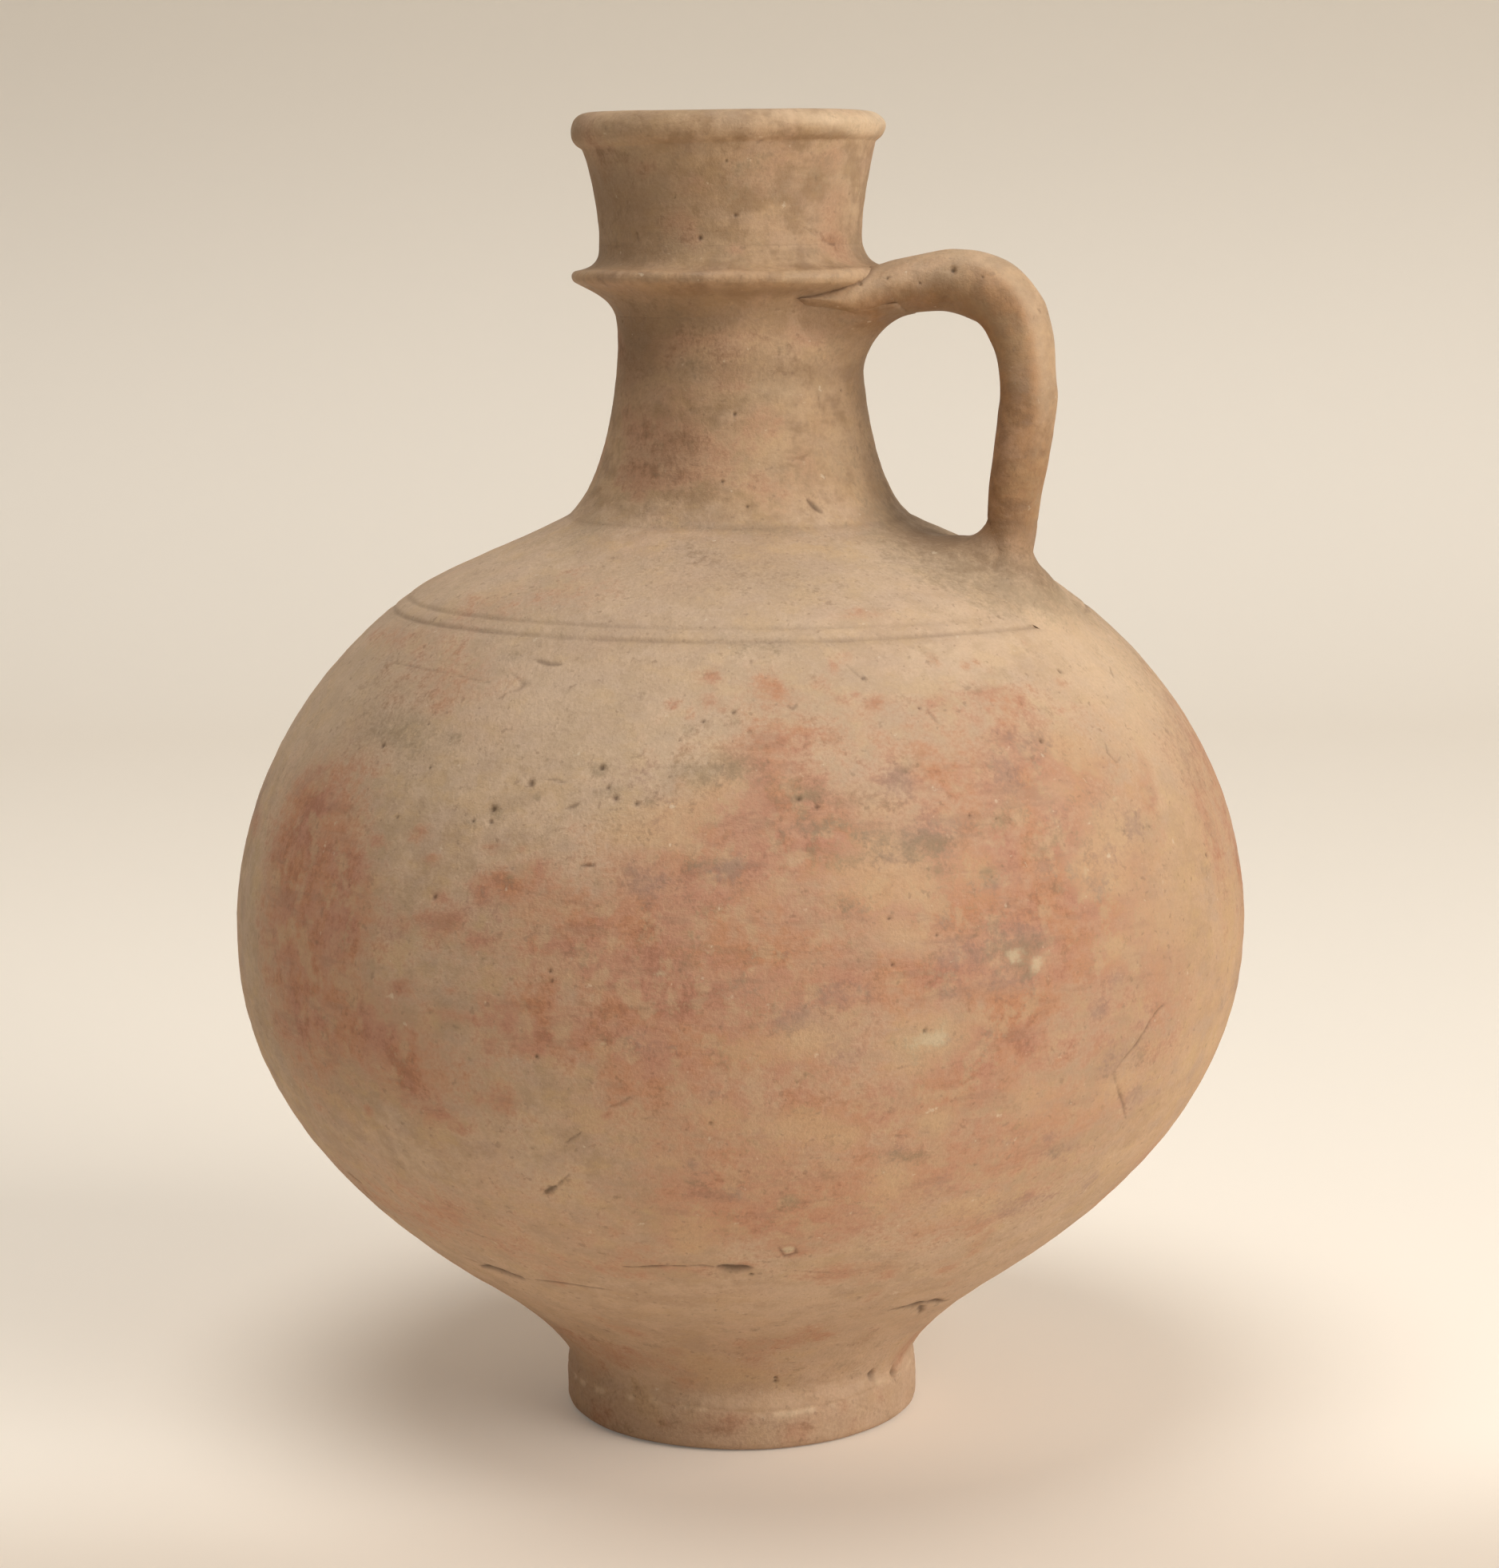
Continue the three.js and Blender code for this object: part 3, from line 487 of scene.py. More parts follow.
def marks(p):
    """How deep the pits and cracks go at each point, in millimetres, and how dark they are."""
    depth_here = np.zeros(len(p))
    dark = np.zeros(len(p))
    for half, depth, gloom, a, b in crack_segments:
        mid = (a + b) / 2
        reach = np.linalg.norm(b - a) / 2 + 4 * half
        idx = np.nonzero(((p - mid) ** 2).sum(1) < reach * reach)[0]
        if not len(idx):
            continue
        ab = b - a
        t = np.clip(((p[idx] - a) @ ab) / (ab @ ab + 1e-9), 0, 1)
        d = np.linalg.norm(p[idx] - (a + t[:, None] * ab), axis=1) / half
        depth_here[idx] = np.maximum(depth_here[idx], depth * np.exp(-d * d * 0.8))
        dark[idx] = np.maximum(dark[idx], gloom * np.exp(-d * d * 0.7))
    for radius, place in pit_places:
        idx = np.nonzero(((p - place) ** 2).sum(1) < (3 * radius) ** 2)[0]
        d = np.linalg.norm(p[idx] - place, axis=1) / (radius * (0.8 + 0.35 * noise(p[idx], 1.1, 14)))
        depth_here[idx] = np.maximum(depth_here[idx], 0.75 * radius * np.exp(-d * d * 1.1))
        dark[idx] = np.maximum(dark[idx], 0.85 * np.exp(-d * d * 1.3))
    return depth_here, dark


def incised(az, z, level, spread, depth, fade=None):
    """The depth of a line cut round the jug at a height that drifts with the angle."""
    line = np.interp(az, [-180, -75, -17, 8, 35, 60, 100, 180], level)
    cut = depth * np.exp(-((z - line) / spread) ** 2)
    return cut if fade is None else cut * np.interp(az, [-180, -80, -30, 10, 30, 45, 120, 180], fade)


def from_foot(p):
    """How far points lie from the middle of the handle's foot."""
    return np.linalg.norm(p - in_place(np.array(HANDLE_FOOT_R), np.array(0.0), np.array(foot_z)), axis=1)


def ridge_share(p):
    """Where the throwing ridges show: on the walls, but not on the handle or round its foot."""
    return (1 - smoothstep(off_wall(p), 0.6, 3)) * smoothstep(from_foot(p), 9, 18)


def relief(p, lines=1):
    """How far the skin stands out from its even outline, in millimetres, and how dark its marks are.
    lines is 0 where the incised lines are smeared over."""
    az, z = azimuth(p), p[:, 2]
    ridges = ridge_share(p)
    flow = p * np.array([0.22, 0.22, 1.0])
    out = 0.26 * noise(p, 52, 1) + 0.1 * noise(p, 21, 2) + 0.05 * noise(p, 8, 3) + 0.022 * noise(p, 3, 4)
    out += 0.05 * noise(flow, 3.1, 5) + 0.03 * noise(flow, 1.5, 6)
    turn = z + 3.4 * az / 360 + 0.8 * noise(p, 30, 7)
    out += ridges * 0.035 * np.sin(2 * np.pi * turn / 5.3) * (0.6 + 0.4 * noise(p, 40, 8))
    out += ridges * 0.02 * np.sin(2 * np.pi * turn / 2.1 + 1.3) * (0.5 + 0.5 * noise(p, 26, 9))
    lower = incised(az, z, [186.3, 186.7, 186.7, 186.5, 186.2, 185.5, 185.6, 186.3], 0.38, 0.42)
    upper = incised(az, z, [189, 189.2, 189.1, 188.9, 188.3, 188.2, 188.6, 189], 0.34, 0.28,
                    [0.7, 1, 1, 0.8, 0.55, 0.2, 0.5, 0.7])
    again = incised(az, z, [185.6, 185.9, 186, 185.7, 185.3, 184.8, 185, 185.6], 0.3, 0.12,
                    [0.4, 1, 0.6, 0.9, 0.8, 0.5, 0.5, 0.4])
    foot_line = incised(az, z, [9.6, 9, 10.3, 9, 9.4, 10.8, 10, 9.6], 0.5, 0.3)
    seam = 0.12 * np.exp(-((z - NECK_SEAM_Z - 0.6 * noise(p, 24, 10)) / 0.55) ** 2) * (z > 200) * (z < 212)
    broken = 0.8 + 0.35 * noise(p, 5, 12)
    shoulder_lines = (lower + upper + again) * broken * lines * smoothstep(from_foot(p), 16, 21)
    cut = shoulder_lines + foot_line * broken + seam
    pits, dark = marks(p)
    line_dark = np.clip(shoulder_lines * 0.9 + seam * 1.2, 0, 0.5)
    return out - cut - pits, np.maximum(dark, line_dark)


# Building meshes

def link(thing):
    """Puts an object into the scene."""
    bpy.context.scene.collection.objects.link(thing)
    return thing


def off_bar(p):
    """How far points lie outward from the handle's centre line, and their share of its length."""
    out, along = np.zeros(len(p)), np.zeros(len(p))
    q = np.stack([p[:, 0] * math.cos(BEARING) + p[:, 1] * math.sin(BEARING), p[:, 2]], 1)
    idx = np.nonzero((q[:, 0] > 24) & (p[:, 2] > foot_z))[0]
    if len(idx):
        step = handle_path[::2]
        tangent = tangents(step)
        near = ((q[idx, None] - step[None]) ** 2).sum(2).argmin(1)
        gap = q[idx] - step[near]
        out[idx] = gap[:, 1] * tangent[near, 0] - gap[:, 0] * tangent[near, 1]
        along[idx] = path_length[::2][near] / path_length[-1]
    return out, along


def keep_shares(mesh, name, *shares):
    """Keeps four shares from 0 to 1 for each point as one colour attribute."""
    layer = mesh.attributes.new(name, "FLOAT_COLOR", "POINT")
    layer.data.foreach_set("color", np.stack(shares, 1).astype(np.float32).ravel())


def paint(mesh, p, dark):
    """Writes what the clay's material reads: stains, marks with the tints by place, and patina and wear.
    One tint is painted warm light on the right; patina and wear also carry painted shade and highlights.
    """
    az, z = azimuth(p), p[:, 2]
    warp_a = 3.2 * noise(p, 15, 21) + 1.6 * noise(p, 6, 22) + 0.8 * noise(p, 2.6, 23)
    warp_z = 3.2 * noise(p, 13, 24) + 1.6 * noise(p, 5, 25) + 0.8 * noise(p, 2.4, 26)
    warp = (np.degrees(warp_a / np.maximum(np.hypot(p[:, 0], p[:, 1]), 15)), warp_z)
    handle = smoothstep(off_wall(p), 1.5, 9) * smoothstep(z - shoulder_z(from_axis(p)), 1, 9) * (z < 268)
    rose, green, lilac, tan = (blobs(az, z, warp, rows) for rows in (ROSE, GREEN, LILAC, TAN))
    keep_shares(mesh, "stain", rose, green * (1 - 0.75 * handle), lilac, tan)
    neck = smoothstep(z + 2.5 * noise(p, 20, 41), 205, 213)
    neck = np.maximum(neck, 0.1 * (1 - smoothstep(z + 2 * noise(p, 18, 42), 34, 52)))
    # Painted warm light: a tan tint on the right side, where the key light falls
    painted_warm_light = smoothstep(az + 8 * noise(p, 40, 43), 22, 78) * (az < 120)
    painted_warm_light = painted_warm_light * smoothstep(z, 48, 75) * (1 - smoothstep(z, 180, 205))
    keep_shares(mesh, "mark", dark, np.maximum(neck, handle), handle, painted_warm_light)
    patina_and_shade, wear_and_highlight, cream = (blobs(az, z, warp, rows) for rows in (PATINA_AND_SHADE, WEAR_AND_HIGHLIGHT, CREAM))
    foot_line = np.interp(az, [-180, -58, -24, 0, 16, 41, 50, 180], [9.8, 9.2, 10.9, 9.2, 8.6, 9.8, 11.1, 9.8])
    flecked = np.clip(0.25 + 1.6 * noise(p, 2.4, 44), 0, 1)
    wear_and_highlight = np.maximum(wear_and_highlight, 0.8 * np.exp(-((z - foot_line) / 0.9) ** 2) * flecked)
    out, along = off_bar(p)
    # Painted highlights on the handle, kept as wear: along the outer edge of the bend (rim), and over the arch
    # from the root to the bend, all but its inner side (arch)
    rim = handle * smoothstep(out, 2.0, 5.0) * (1 - smoothstep(np.abs(along - 0.42), 0.08, 0.4))
    arch = handle * smoothstep(out, -4, 2) * (1 - smoothstep(along, 0.3, 0.5))
    wear_and_highlight = np.maximum(wear_and_highlight, np.maximum(0.62 * rim, 0.5 * arch))
    # Painted shade with some grime on the inner side of the bar round the bend
    grime_and_inner_shade = handle * (1 - smoothstep(out, 0, 4)) * (1 - smoothstep(np.abs(along - 0.28), 0.08, 0.2))
    patina_and_shade = np.maximum(patina_and_shade * (1 - 0.75 * handle), 0.15 * grime_and_inner_shade)
    upright = handle * smoothstep(along, 0.26, 0.42) * (1 - 0.8 * smoothstep(out, 3.5, 6.0))
    keep_shares(mesh, "coat", patina_and_shade, np.clip(wear_and_highlight, 0, 1), cream, upright)


def build(name, verts, quads, normals, skin, lift=None, columns=1, corners=(), refine=True, lines=1,
          extra_dark=None):
    """Makes one closed piece from a base form: refines it at the marks, then gives its skin the relief.
    skin is the relief's share at each point, lift moves the points last, and corners are sharp rows."""
    bm = bmesh.new()
    nx, ny, nz, sk = (bm.verts.layers.float.new(n) for n in ("nx", "ny", "nz", "sk"))
    made = [bm.verts.new(v) for v in verts]
    for v, n, s in zip(made, normals, skin):
        v[nx], v[ny], v[nz], v[sk] = float(n[0]), float(n[1]), float(n[2]), float(s)
    for q in quads:
        bm.faces.new([made[i] for i in q])
    bm.verts.index_update()
    for e in bm.edges:
        row = e.verts[0].index // columns
        e.smooth = not (row in corners and row == e.verts[1].index // columns)
    if refine:
        close = near_marks(verts, MARK_MARGIN) & (skin > 0.5)
        faces = [f for f in bm.faces if any(close[v.index] for v in f.verts)]
        edges = list({e for f in faces for e in f.edges})
        if edges:
            bmesh.ops.subdivide_edges(bm, edges=edges, cuts=2, use_grid_fill=True)
    bm.verts.index_update()
    base = np.array([v.co[:] for v in bm.verts])
    normal = np.array([(v[nx], v[ny], v[nz]) for v in bm.verts])
    normal /= np.linalg.norm(normal, axis=1)[:, None] + 1e-9
    weight = np.array([v[sk] for v in bm.verts])
    out, dark = relief(base, lines)
    if extra_dark is not None:
        dark = np.maximum(dark, extra_dark(base))
    moved = base + normal * (weight * (out - STAND_BACK))[:, None]
    if lift is not None:
        moved = lift(moved)
    mesh = bpy.data.meshes.new(name)
    bm.to_mesh(mesh)
    bm.free()
    mesh.vertices.foreach_set("co", (moved * MM).astype(np.float32).ravel())
    for layer in ("nx", "ny", "nz", "sk"):
        mesh.attributes.remove(mesh.attributes[layer])
    paint(mesh, base, dark * weight)
    mesh.polygons.foreach_set("use_smooth", [True] * len(mesh.polygons))
    mesh.update()
    return link(bpy.data.objects.new(name, mesh))


def ring_quads(rows, columns, wrap_rows):
    """Faces of a grid whose columns go round. Its rows go round too, or end in fans."""
    i, j = np.meshgrid(np.arange(rows if wrap_rows else rows - 1), np.arange(columns), indexing="ij")
    a = i * columns + j
    b = i * columns + (j + 1) % columns
    up = ((i + 1) % rows) * columns
    return np.stack([a, b, up + (j + 1) % columns, up + j], -1).reshape(-1, 4).tolist()


def fans(rows, columns):
    """Faces from the first and the last row of an open grid to its two poles, the points after the grid's."""
    first, base = rows * columns, (rows - 1) * columns
    made = [[first, (j + 1) % columns, j] for j in range(columns)]
    return made + [[first + 1, base + j, base + (j + 1) % columns] for j in range(columns)]


def turned(name, outline, columns, poles=(), lift=None):
    """A turned piece from its outline. poles are the heights where an open outline meets the axis."""
    points, normals2, skin = (np.array(x) for x in (outline.points, outline.normals, outline.skin))
    turn = np.radians(np.arange(columns) * 360 / columns + 90)
    r, z = points[:, :1], points[:, 1:]
    verts = np.stack([wander(z) + r * np.cos(turn), r * np.sin(turn), z + 0 * turn], -1).reshape(-1, 3)
    nr, nz = normals2[:, :1], normals2[:, 1:]
    normals = np.stack([nr * np.cos(turn), nr * np.sin(turn), nz + 0 * turn], -1).reshape(-1, 3)
    weight = np.repeat(skin, columns)
    quads = ring_quads(len(points), columns, not poles)
    if poles:
        verts = np.vstack([verts, [(wander(h), 0, h) for h in poles]])
        normals = np.vstack([normals, [(0, 0, -1), (0, 0, 1)]])
        weight = np.concatenate([weight, [0, 0]])
        quads += fans(len(points), columns)
    return build(name, verts, quads, normals, weight, lift, columns, outline.corners)


def inset(curve, depth):
    """An outline's curve again, moved into the wall."""
    tangent = tangents(curve)
    return curve + depth * np.stack([-tangent[:, 1], tangent[:, 0]], 1)


def seat(z, gap=0):
    """A point at a height on the cone in the foot that carries the belly."""
    return FOOT_SEAM_R - SEAT_IN - (FOOT_SEAM_Z - z) * FLARE_SLOPE - gap, z


def make_foot():
    round_in, round_out = 0.8, 2.4
    edge = arc(FOOT_R - round_out, round_out, round_out, -90, 0)
    band = np.vstack([edge, [(FOOT_R, 8)], [(FOOT_R - 0.15, 10.5)], foot_flare])
    inner_step = even(2.5)
    seat_top, seat_low = seat(FOOT_SEAM_Z), seat(FLOOR_Z)
    outline = Outline()
    outline.hide((RING_BORE_R + round_in, 0), (FOOT_R - round_out, 0), step=inner_step)
    outline.add(band, 1, skin_step)
    outline.hide(FOOT_SEAM, seat_top)
    outline.hide(seat_top, seat_low)
    outline.hide(seat_low, (RING_BORE_R, FLOOR_Z))
    outline.add([(RING_BORE_R, FLOOR_Z), (RING_BORE_R, round_in)], 0.6, inner_step)
    outline.add(arc(RING_BORE_R + round_in, round_in, round_in, 180, 270, 4), 0)
    return turned("foot_clay", outline.close(), 400)


def make_lower_body():
    gap = SLIP / math.cos(math.radians(FLARE_LEAN))
    seat_low, seat_top = seat(FLOOR_Z, gap), seat(FOOT_SEAM_Z, gap)
    coarse = even(7.0)
    lining = inset(bowl, WALL)[::-1]
    floor_z = FLOOR_Z + FLOOR_WALL
    floor_r = lining[-1][0] - (lining[-1][1] - floor_z) * FLARE_SLOPE
    outline = Outline()
    outline.hide((FAN_R, FLOOR_Z), seat_low, step=coarse)
    outline.hide(seat_low, seat_top)
    outline.hide(seat_top, FOOT_SEAM)
    outline.add(bowl, 1, skin_step)
    tongue_r, tongue_z = GIRTH_R - LAP_IN - SLIP, GIRTH_Z + TONGUE_HIGH
    outline.hide(GIRTH, (tongue_r, GIRTH_Z), (tongue_r, tongue_z), (GIRTH_R - WALL, tongue_z))
    outline.hide((GIRTH_R - WALL, tongue_z), *lining, step=coarse)
    outline.hide(lining[-1], (floor_r, floor_z))
    outline.hide((floor_r, floor_z), (FAN_R, floor_z), step=coarse)
    return turned("lower_body_clay", outline, 620, poles=(FLOOR_Z, floor_z))


def make_upper_body():
    coarse = even(6.0)
    socket_r, socket_z = GIRTH_R - LAP_IN, GIRTH_Z + TONGUE_HIGH + SLIP
    lining = np.vstack([inset(dome, WALL), inset(cone, WALL)[1:]])
    lining = lining[(lining[:, 1] > socket_z) & (lining[:, 0] > NECK_HOLE_R)][::-1]
    outline = Outline()
    outline.add(np.vstack([dome, cone[1:]]), 1, skin_step)
    outline.hide(NECK_SEAM, (NECK_HOLE_R, NECK_SEAM_Z), (NECK_HOLE_R, lining[0][1]))
    outline.hide((NECK_HOLE_R, lining[0][1]), *lining, step=coarse)
    outline.hide(lining[-1], (GIRTH_R - WALL, socket_z), (socket_r, socket_z), (socket_r, GIRTH_Z))
    outline.hide((socket_r, GIRTH_Z), GIRTH)
    return turned("upper_body_clay", outline.close(), 555)


def make_neck():
    spigot_r, spigot_z = NECK_HOLE_R - SLIP, NECK_SEAM_Z - SPIGOT_LONG
    bore_foot = (spigot_r - SPIGOT_WALL, spigot_z)
    bore = run(bore_foot, -6, (BORE_R, NECK_WAIST_Z), 0, (0.3, 0.55))
    inner = even(2.2)
    outline = Outline()
    outline.hide((spigot_r, spigot_z), (spigot_r, NECK_SEAM_Z), NECK_SEAM)
    outline.add(np.vstack([neck_rise, neck_top[1:]]), 1, skin_step)
    outline.hide(COLLAR_BASE, (LAP_R, COLLAR_BASE_Z), (LAP_R, MOUTH_Z), (BORE_R, MOUTH_Z))
    outline.add([(BORE_R, MOUTH_Z), (BORE_R, NECK_WAIST_Z)], 0.5, inner)
    outline.add(bore[::-1], 0.5, inner)
    outline.hide(bore_foot, (spigot_r, spigot_z))
    return turned("neck_clay", outline.close(), 300)


def make_collar():
    outline = Outline()
    outline.add(collar_form, 1, even(0.5))
    bore_r = LAP_R + SLIP
    outline.hide(COLLAR_TOP, (bore_r, COLLAR_TOP_Z), (bore_r, COLLAR_BASE_Z))
    outline.hide((bore_r, COLLAR_BASE_Z), COLLAR_BASE)
    return turned("collar_clay", outline.close(), 300)


def lip_step(z):
    """How far apart the mouth's rows are at a height: closer at the lip."""
    return np.where(z > LIP_Z - 11, 0.36, 0.75)


def rim_lift(p):
    """The rim as the hand left it: its roll hangs lower on one side, and its top dips in front."""
    az, z = azimuth(p), p[:, 2]
    share = smoothstep(z, LIP_Z - 14, LIP_Z - 5)
    top = smoothstep(z, LIP_Z - 6, LIP_Z - 1)
    side = np.sin(np.radians(az))
    moved = p.copy()
    dip = -0.5 + 0.2 * np.cos(np.radians(2 * az + 180))
    moved[:, 2] += share * (1 - top) * (0.75 * side - 0.1) + top * dip
    return moved


def make_mouth():
    inner = even(1.2)
    outline = Outline()
    outline.hide((BORE_R, MOUTH_Z), (LAP_R, MOUTH_Z), (LAP_R, COLLAR_TOP_Z), COLLAR_TOP)
    outline.add(np.vstack([mouth_wall, roll_foot[1:], roll[1:], crown[1:]]), 1, lip_step)
    outline.add(np.vstack([lip_inside, funnel[1:]]), 0.9, inner)
    outline.add([(BORE_R, COLLAR_TOP_Z), (BORE_R, MOUTH_Z)], 0.5, inner)
    return turned("mouth_clay", outline.close(), 300, lift=rim_lift)


# Handle

def shoulder_z(r):
    """Height of the outer shoulder at a radius."""
    wall = np.vstack([dome, cone[1:], neck_rise[1:40]])[::-1]
    return np.interp(r, wall[:, 0], wall[:, 1])


foot_z = float(shoulder_z(HANDLE_FOOT_R))
ROOT = (BORE_R + 2.5, MOUTH_Z - 4.4)
BEND = (HANDLE_REACH, MOUTH_Z - 23.1)
END = (HANDLE_FOOT_R, foot_z - 3)
FALL = BEND[1] - END[1]
handle_path = np.vstack([
    cubic(ROOT, (ROOT[0] + 0.66 * (BEND[0] - ROOT[0]), ROOT[1] + 7.6), (BEND[0], ROOT[1] + 9.6), BEND),
    cubic(BEND, (BEND[0], BEND[1] - 0.16 * FALL), (END[0] - 0.5, END[1] + 0.42 * FALL), END)[1:],
])
path_length = np.concatenate([[0], np.cumsum(np.hypot(*np.diff(handle_path, axis=0).T))])


def path_at(s):
    """Points on the handle's centre line at lengths from its root."""
    return np.stack([np.interp(s, path_length, handle_path[:, k]) for k in (0, 1)], -1)


def bar_form(s):
    """The bar along its length: half width, half thickness, how lens-like it is, and how its edges bend."""
    total = path_length[-1]
    bend = 1 - smoothstep(np.abs(s / total - 0.37), 0, 0.27)
    foot = smoothstep(s, total - 34, total - 14)
    across = 7.6 + 12.4 * np.exp(-np.maximum(s - 3, 0) / 8.2) - 0.8 * foot
    out = (11.6 + 3.3 * bend + 1.0 * (1 - smoothstep(s, 0, 17)) - 1.2 * foot) / 2
    lens = 0.9 * (1 - smoothstep(s, 3, 9))
    lift = 1.3 * (1 - smoothstep(s, 0, 8)) - 0.7 * np.exp(-((s - 9) / 5) ** 2)
    bow = 5.0 * (1 - smoothstep(s, 0, 7))
    return across, out, lens, lift, bow


def bar_thickness(u, lens):
    """Share of the half thickness at a share u of the half width: an oval, or a lens at the root."""
    g = np.clip(1 - u * u, 0, 1)
    return (1 - lens) * np.sqrt(g) + lens * (0.5 * g + 0.5 * g * g)


def in_place(radial, across, z):
    """A point from the handle's plane: out from the axis, across the plane, and up."""
    c, s = math.cos(BEARING), math.sin(BEARING)
    return np.stack([radial * c - across * s, radial * s + across * c, z], -1)


def knead(p):
    """Finger marks along the handle: shallow dents and swellings, none where it meets the jug."""
    free = smoothstep(off_wall(p), 3, 10) * smoothstep(p[:, 2] - shoulder_z(from_axis(p)), 3, 12)
    middle = in_place(np.array([46.0]), np.array([0.0]), np.array([226.0]))[0]
    toward = p - middle
    toward /= np.linalg.norm(toward, axis=1)[:, None] + 1e-9
    amount = free * (0.3 * noise(p, 9, 31) + 0.18 * noise(p, 4, 32))
    return p + toward * amount[:, None]


def outward(verts, flip):
    """Normals of a grid of points from its neighbours along and round."""
    along = np.gradient(verts, axis=0)
    about = np.roll(verts, -1, 1) - np.roll(verts, 1, 1)
    normals = np.cross(about, along) * flip
    return normals / (np.linalg.norm(normals, axis=2)[..., None] + 1e-9)


def collar_crease(p):
    """Darker colour in the crease where the bar meets the collar, on the bar."""
    z = p[:, 2]
    gap = from_axis(p) - np.interp(z, collar_form[:, 1], collar_form[:, 0])
    near = np.exp(-(gap / 0.8) ** 2) * smoothstep(z, 253.2, 254.6) * (1 - smoothstep(z, 264, 266))
    return near * np.clip(0.5 + 0.5 * noise(p, 3, 45), 0, 0.75)


def make_handle():
    """The bar: an oval swept along its path, fuller inside the bend and outside along the upright."""
    columns = 84
    total = path_length[-1]
    s = np.linspace(0, total, 170)
    centre = path_at(s)
    tangent = tangents(centre)
    across, out, lens, lift, bow = (v[:, None] for v in bar_form(s))
    turn = np.linspace(0, 2 * np.pi, columns, endpoint=False)
    u = np.cos(turn)
    fade = smoothstep(s, 10, 26) * (1 - smoothstep(s, total - 14, total - 3))
    drift = fade * (0.35 * np.sin(s / 13) + 0.2 * np.sin(s / 5.1 + 2))
    side = u * across + drift[:, None]
    x = s[:, None] / total
    fill = 0.8 * np.exp(-((x - 0.325) / 0.06) ** 2)
    fill = fill - 0.5 * smoothstep(x, 0.4, 0.5) * (1 - smoothstep(x, 0.72, 0.85))
    spare = 1.1 * smoothstep(x, 0.42, 0.62) * (1 - smoothstep(x, 0.76, 0.92))
    half = out + np.where(np.sin(turn) > 0, spare, fill)
    rise = np.sign(np.sin(turn)) * bar_thickness(u, lens) * half + lift * u * u
    radial = centre[:, :1] - rise * tangent[:, 1:] - bow * u * u
    height = centre[:, 1:] + rise * tangent[:, :1]
    grid = in_place(radial, side, height)
    normals = outward(grid, 1).reshape(-1, 3)
    verts = grid.reshape(-1, 3)
    quads = ring_quads(len(s), columns, False) + fans(len(s), columns)
    verts = np.vstack([verts, in_place(*np.array([centre[0][0], drift[0], centre[0][1]])),
                       in_place(*np.array([centre[-1][0], drift[-1], centre[-1][1]]))])
    normals = np.vstack([normals, np.zeros((2, 3)) + [0, 0, 1]])
    weight = np.concatenate([np.ones(len(s) * columns), [0, 0]])
    return build("handle_clay", verts, quads, normals, weight, knead, columns, {0, len(s) - 1},
                 extra_dark=collar_crease)


def make_lower_luting():
    """The clay smeared round the handle's foot: a flare off the bar, then a low mound feathered out."""
    columns, steps, apron = 150, 14, 22
    turn = np.linspace(0, 2 * np.pi, columns, endpoint=False)
    c, s = np.cos(turn), np.sin(turn)
    inner, outer = np.clip(-c, 0, 1), np.clip(c, 0, 1)
    width = 3.2 + 0.4 * np.sin(3 * turn + 0.7) + 3.4 * inner - 0.6 * outer
    tall = 4.4 + 4.2 * inner
    mound = 2.9 + 2.2 * inner + 2.6 * outer + 0.9 * np.clip(s, 0, 1)
    spread = 12 + 7 * inner + 3.5 * outer + 0.8 * np.sin(3 * turn + 2) + 0.6 * np.sin(5 * turn)
    branch = handle_path[len(handle_path) // 2:]

    def bar_edge(z, grow):
        """The bar's outline at a height, wider by grow."""
        at = np.interp(-z, -branch[:, 1], branch[:, 0])
        return at + (5.2 + grow) * c, (6.9 + grow) * s

    def laid(d, flare):
        """A ring of points round the bar, this far from it and this much above the mound."""
        z = np.full(columns, foot_z + 5)
        for _ in range(14):
            x, y = bar_edge(z, -0.4)
            x, y = x + d * c, y + d * s
            z = shoulder_z(np.hypot(x, y)) + mound * (1 - smoothstep(d / spread, 0, 1))
            z = z - 0.1 * d / spread + flare
        return in_place(x, y, z)

    top_z = laid(0 * turn, tall)[:, 2]
    rows = [in_place(*bar_edge(top_z, -1.7), top_z)]
    for t in np.linspace(np.pi / 2, 0, steps):
        rows.append(laid(width * (1 - math.sin(t)), tall * (1 - math.cos(t))))
    for t in np.linspace(0, 1, apron + 1)[1:]:
        rows.append(laid(width + t * (spread - width), 0))
    low_x, low_y = bar_edge(np.full(columns, foot_z), -0.4)
    low_x, low_y = low_x + 0.75 * spread * c, low_y + 0.75 * spread * s
    rows.append(in_place(low_x, low_y, shoulder_z(np.hypot(low_x, low_y)) - 1.2))
    deep_z = shoulder_z(np.hypot(*bar_edge(np.full(columns, foot_z), -1.7))) - 1.5
    rows.append(in_place(*bar_edge(deep_z, -1.7), deep_z))
    grid = np.stack(rows)
    shown = steps + apron
    skin = np.repeat([0.0] + [1.0] * shown + [0.0, 0.0], columns)
    quads = [q[::-1] for q in ring_quads(len(rows), columns, True)]
    normals = outward(grid, -1)
    normals[1], normals[shown] = normals[2], normals[shown - 1]
    return build("lower_luting_clay", grid.reshape(-1, 3), quads, normals.reshape(-1, 3), skin, knead, columns,
                 {0, 1, shown, shown + 1, shown + 2}, refine=False, lines=0)


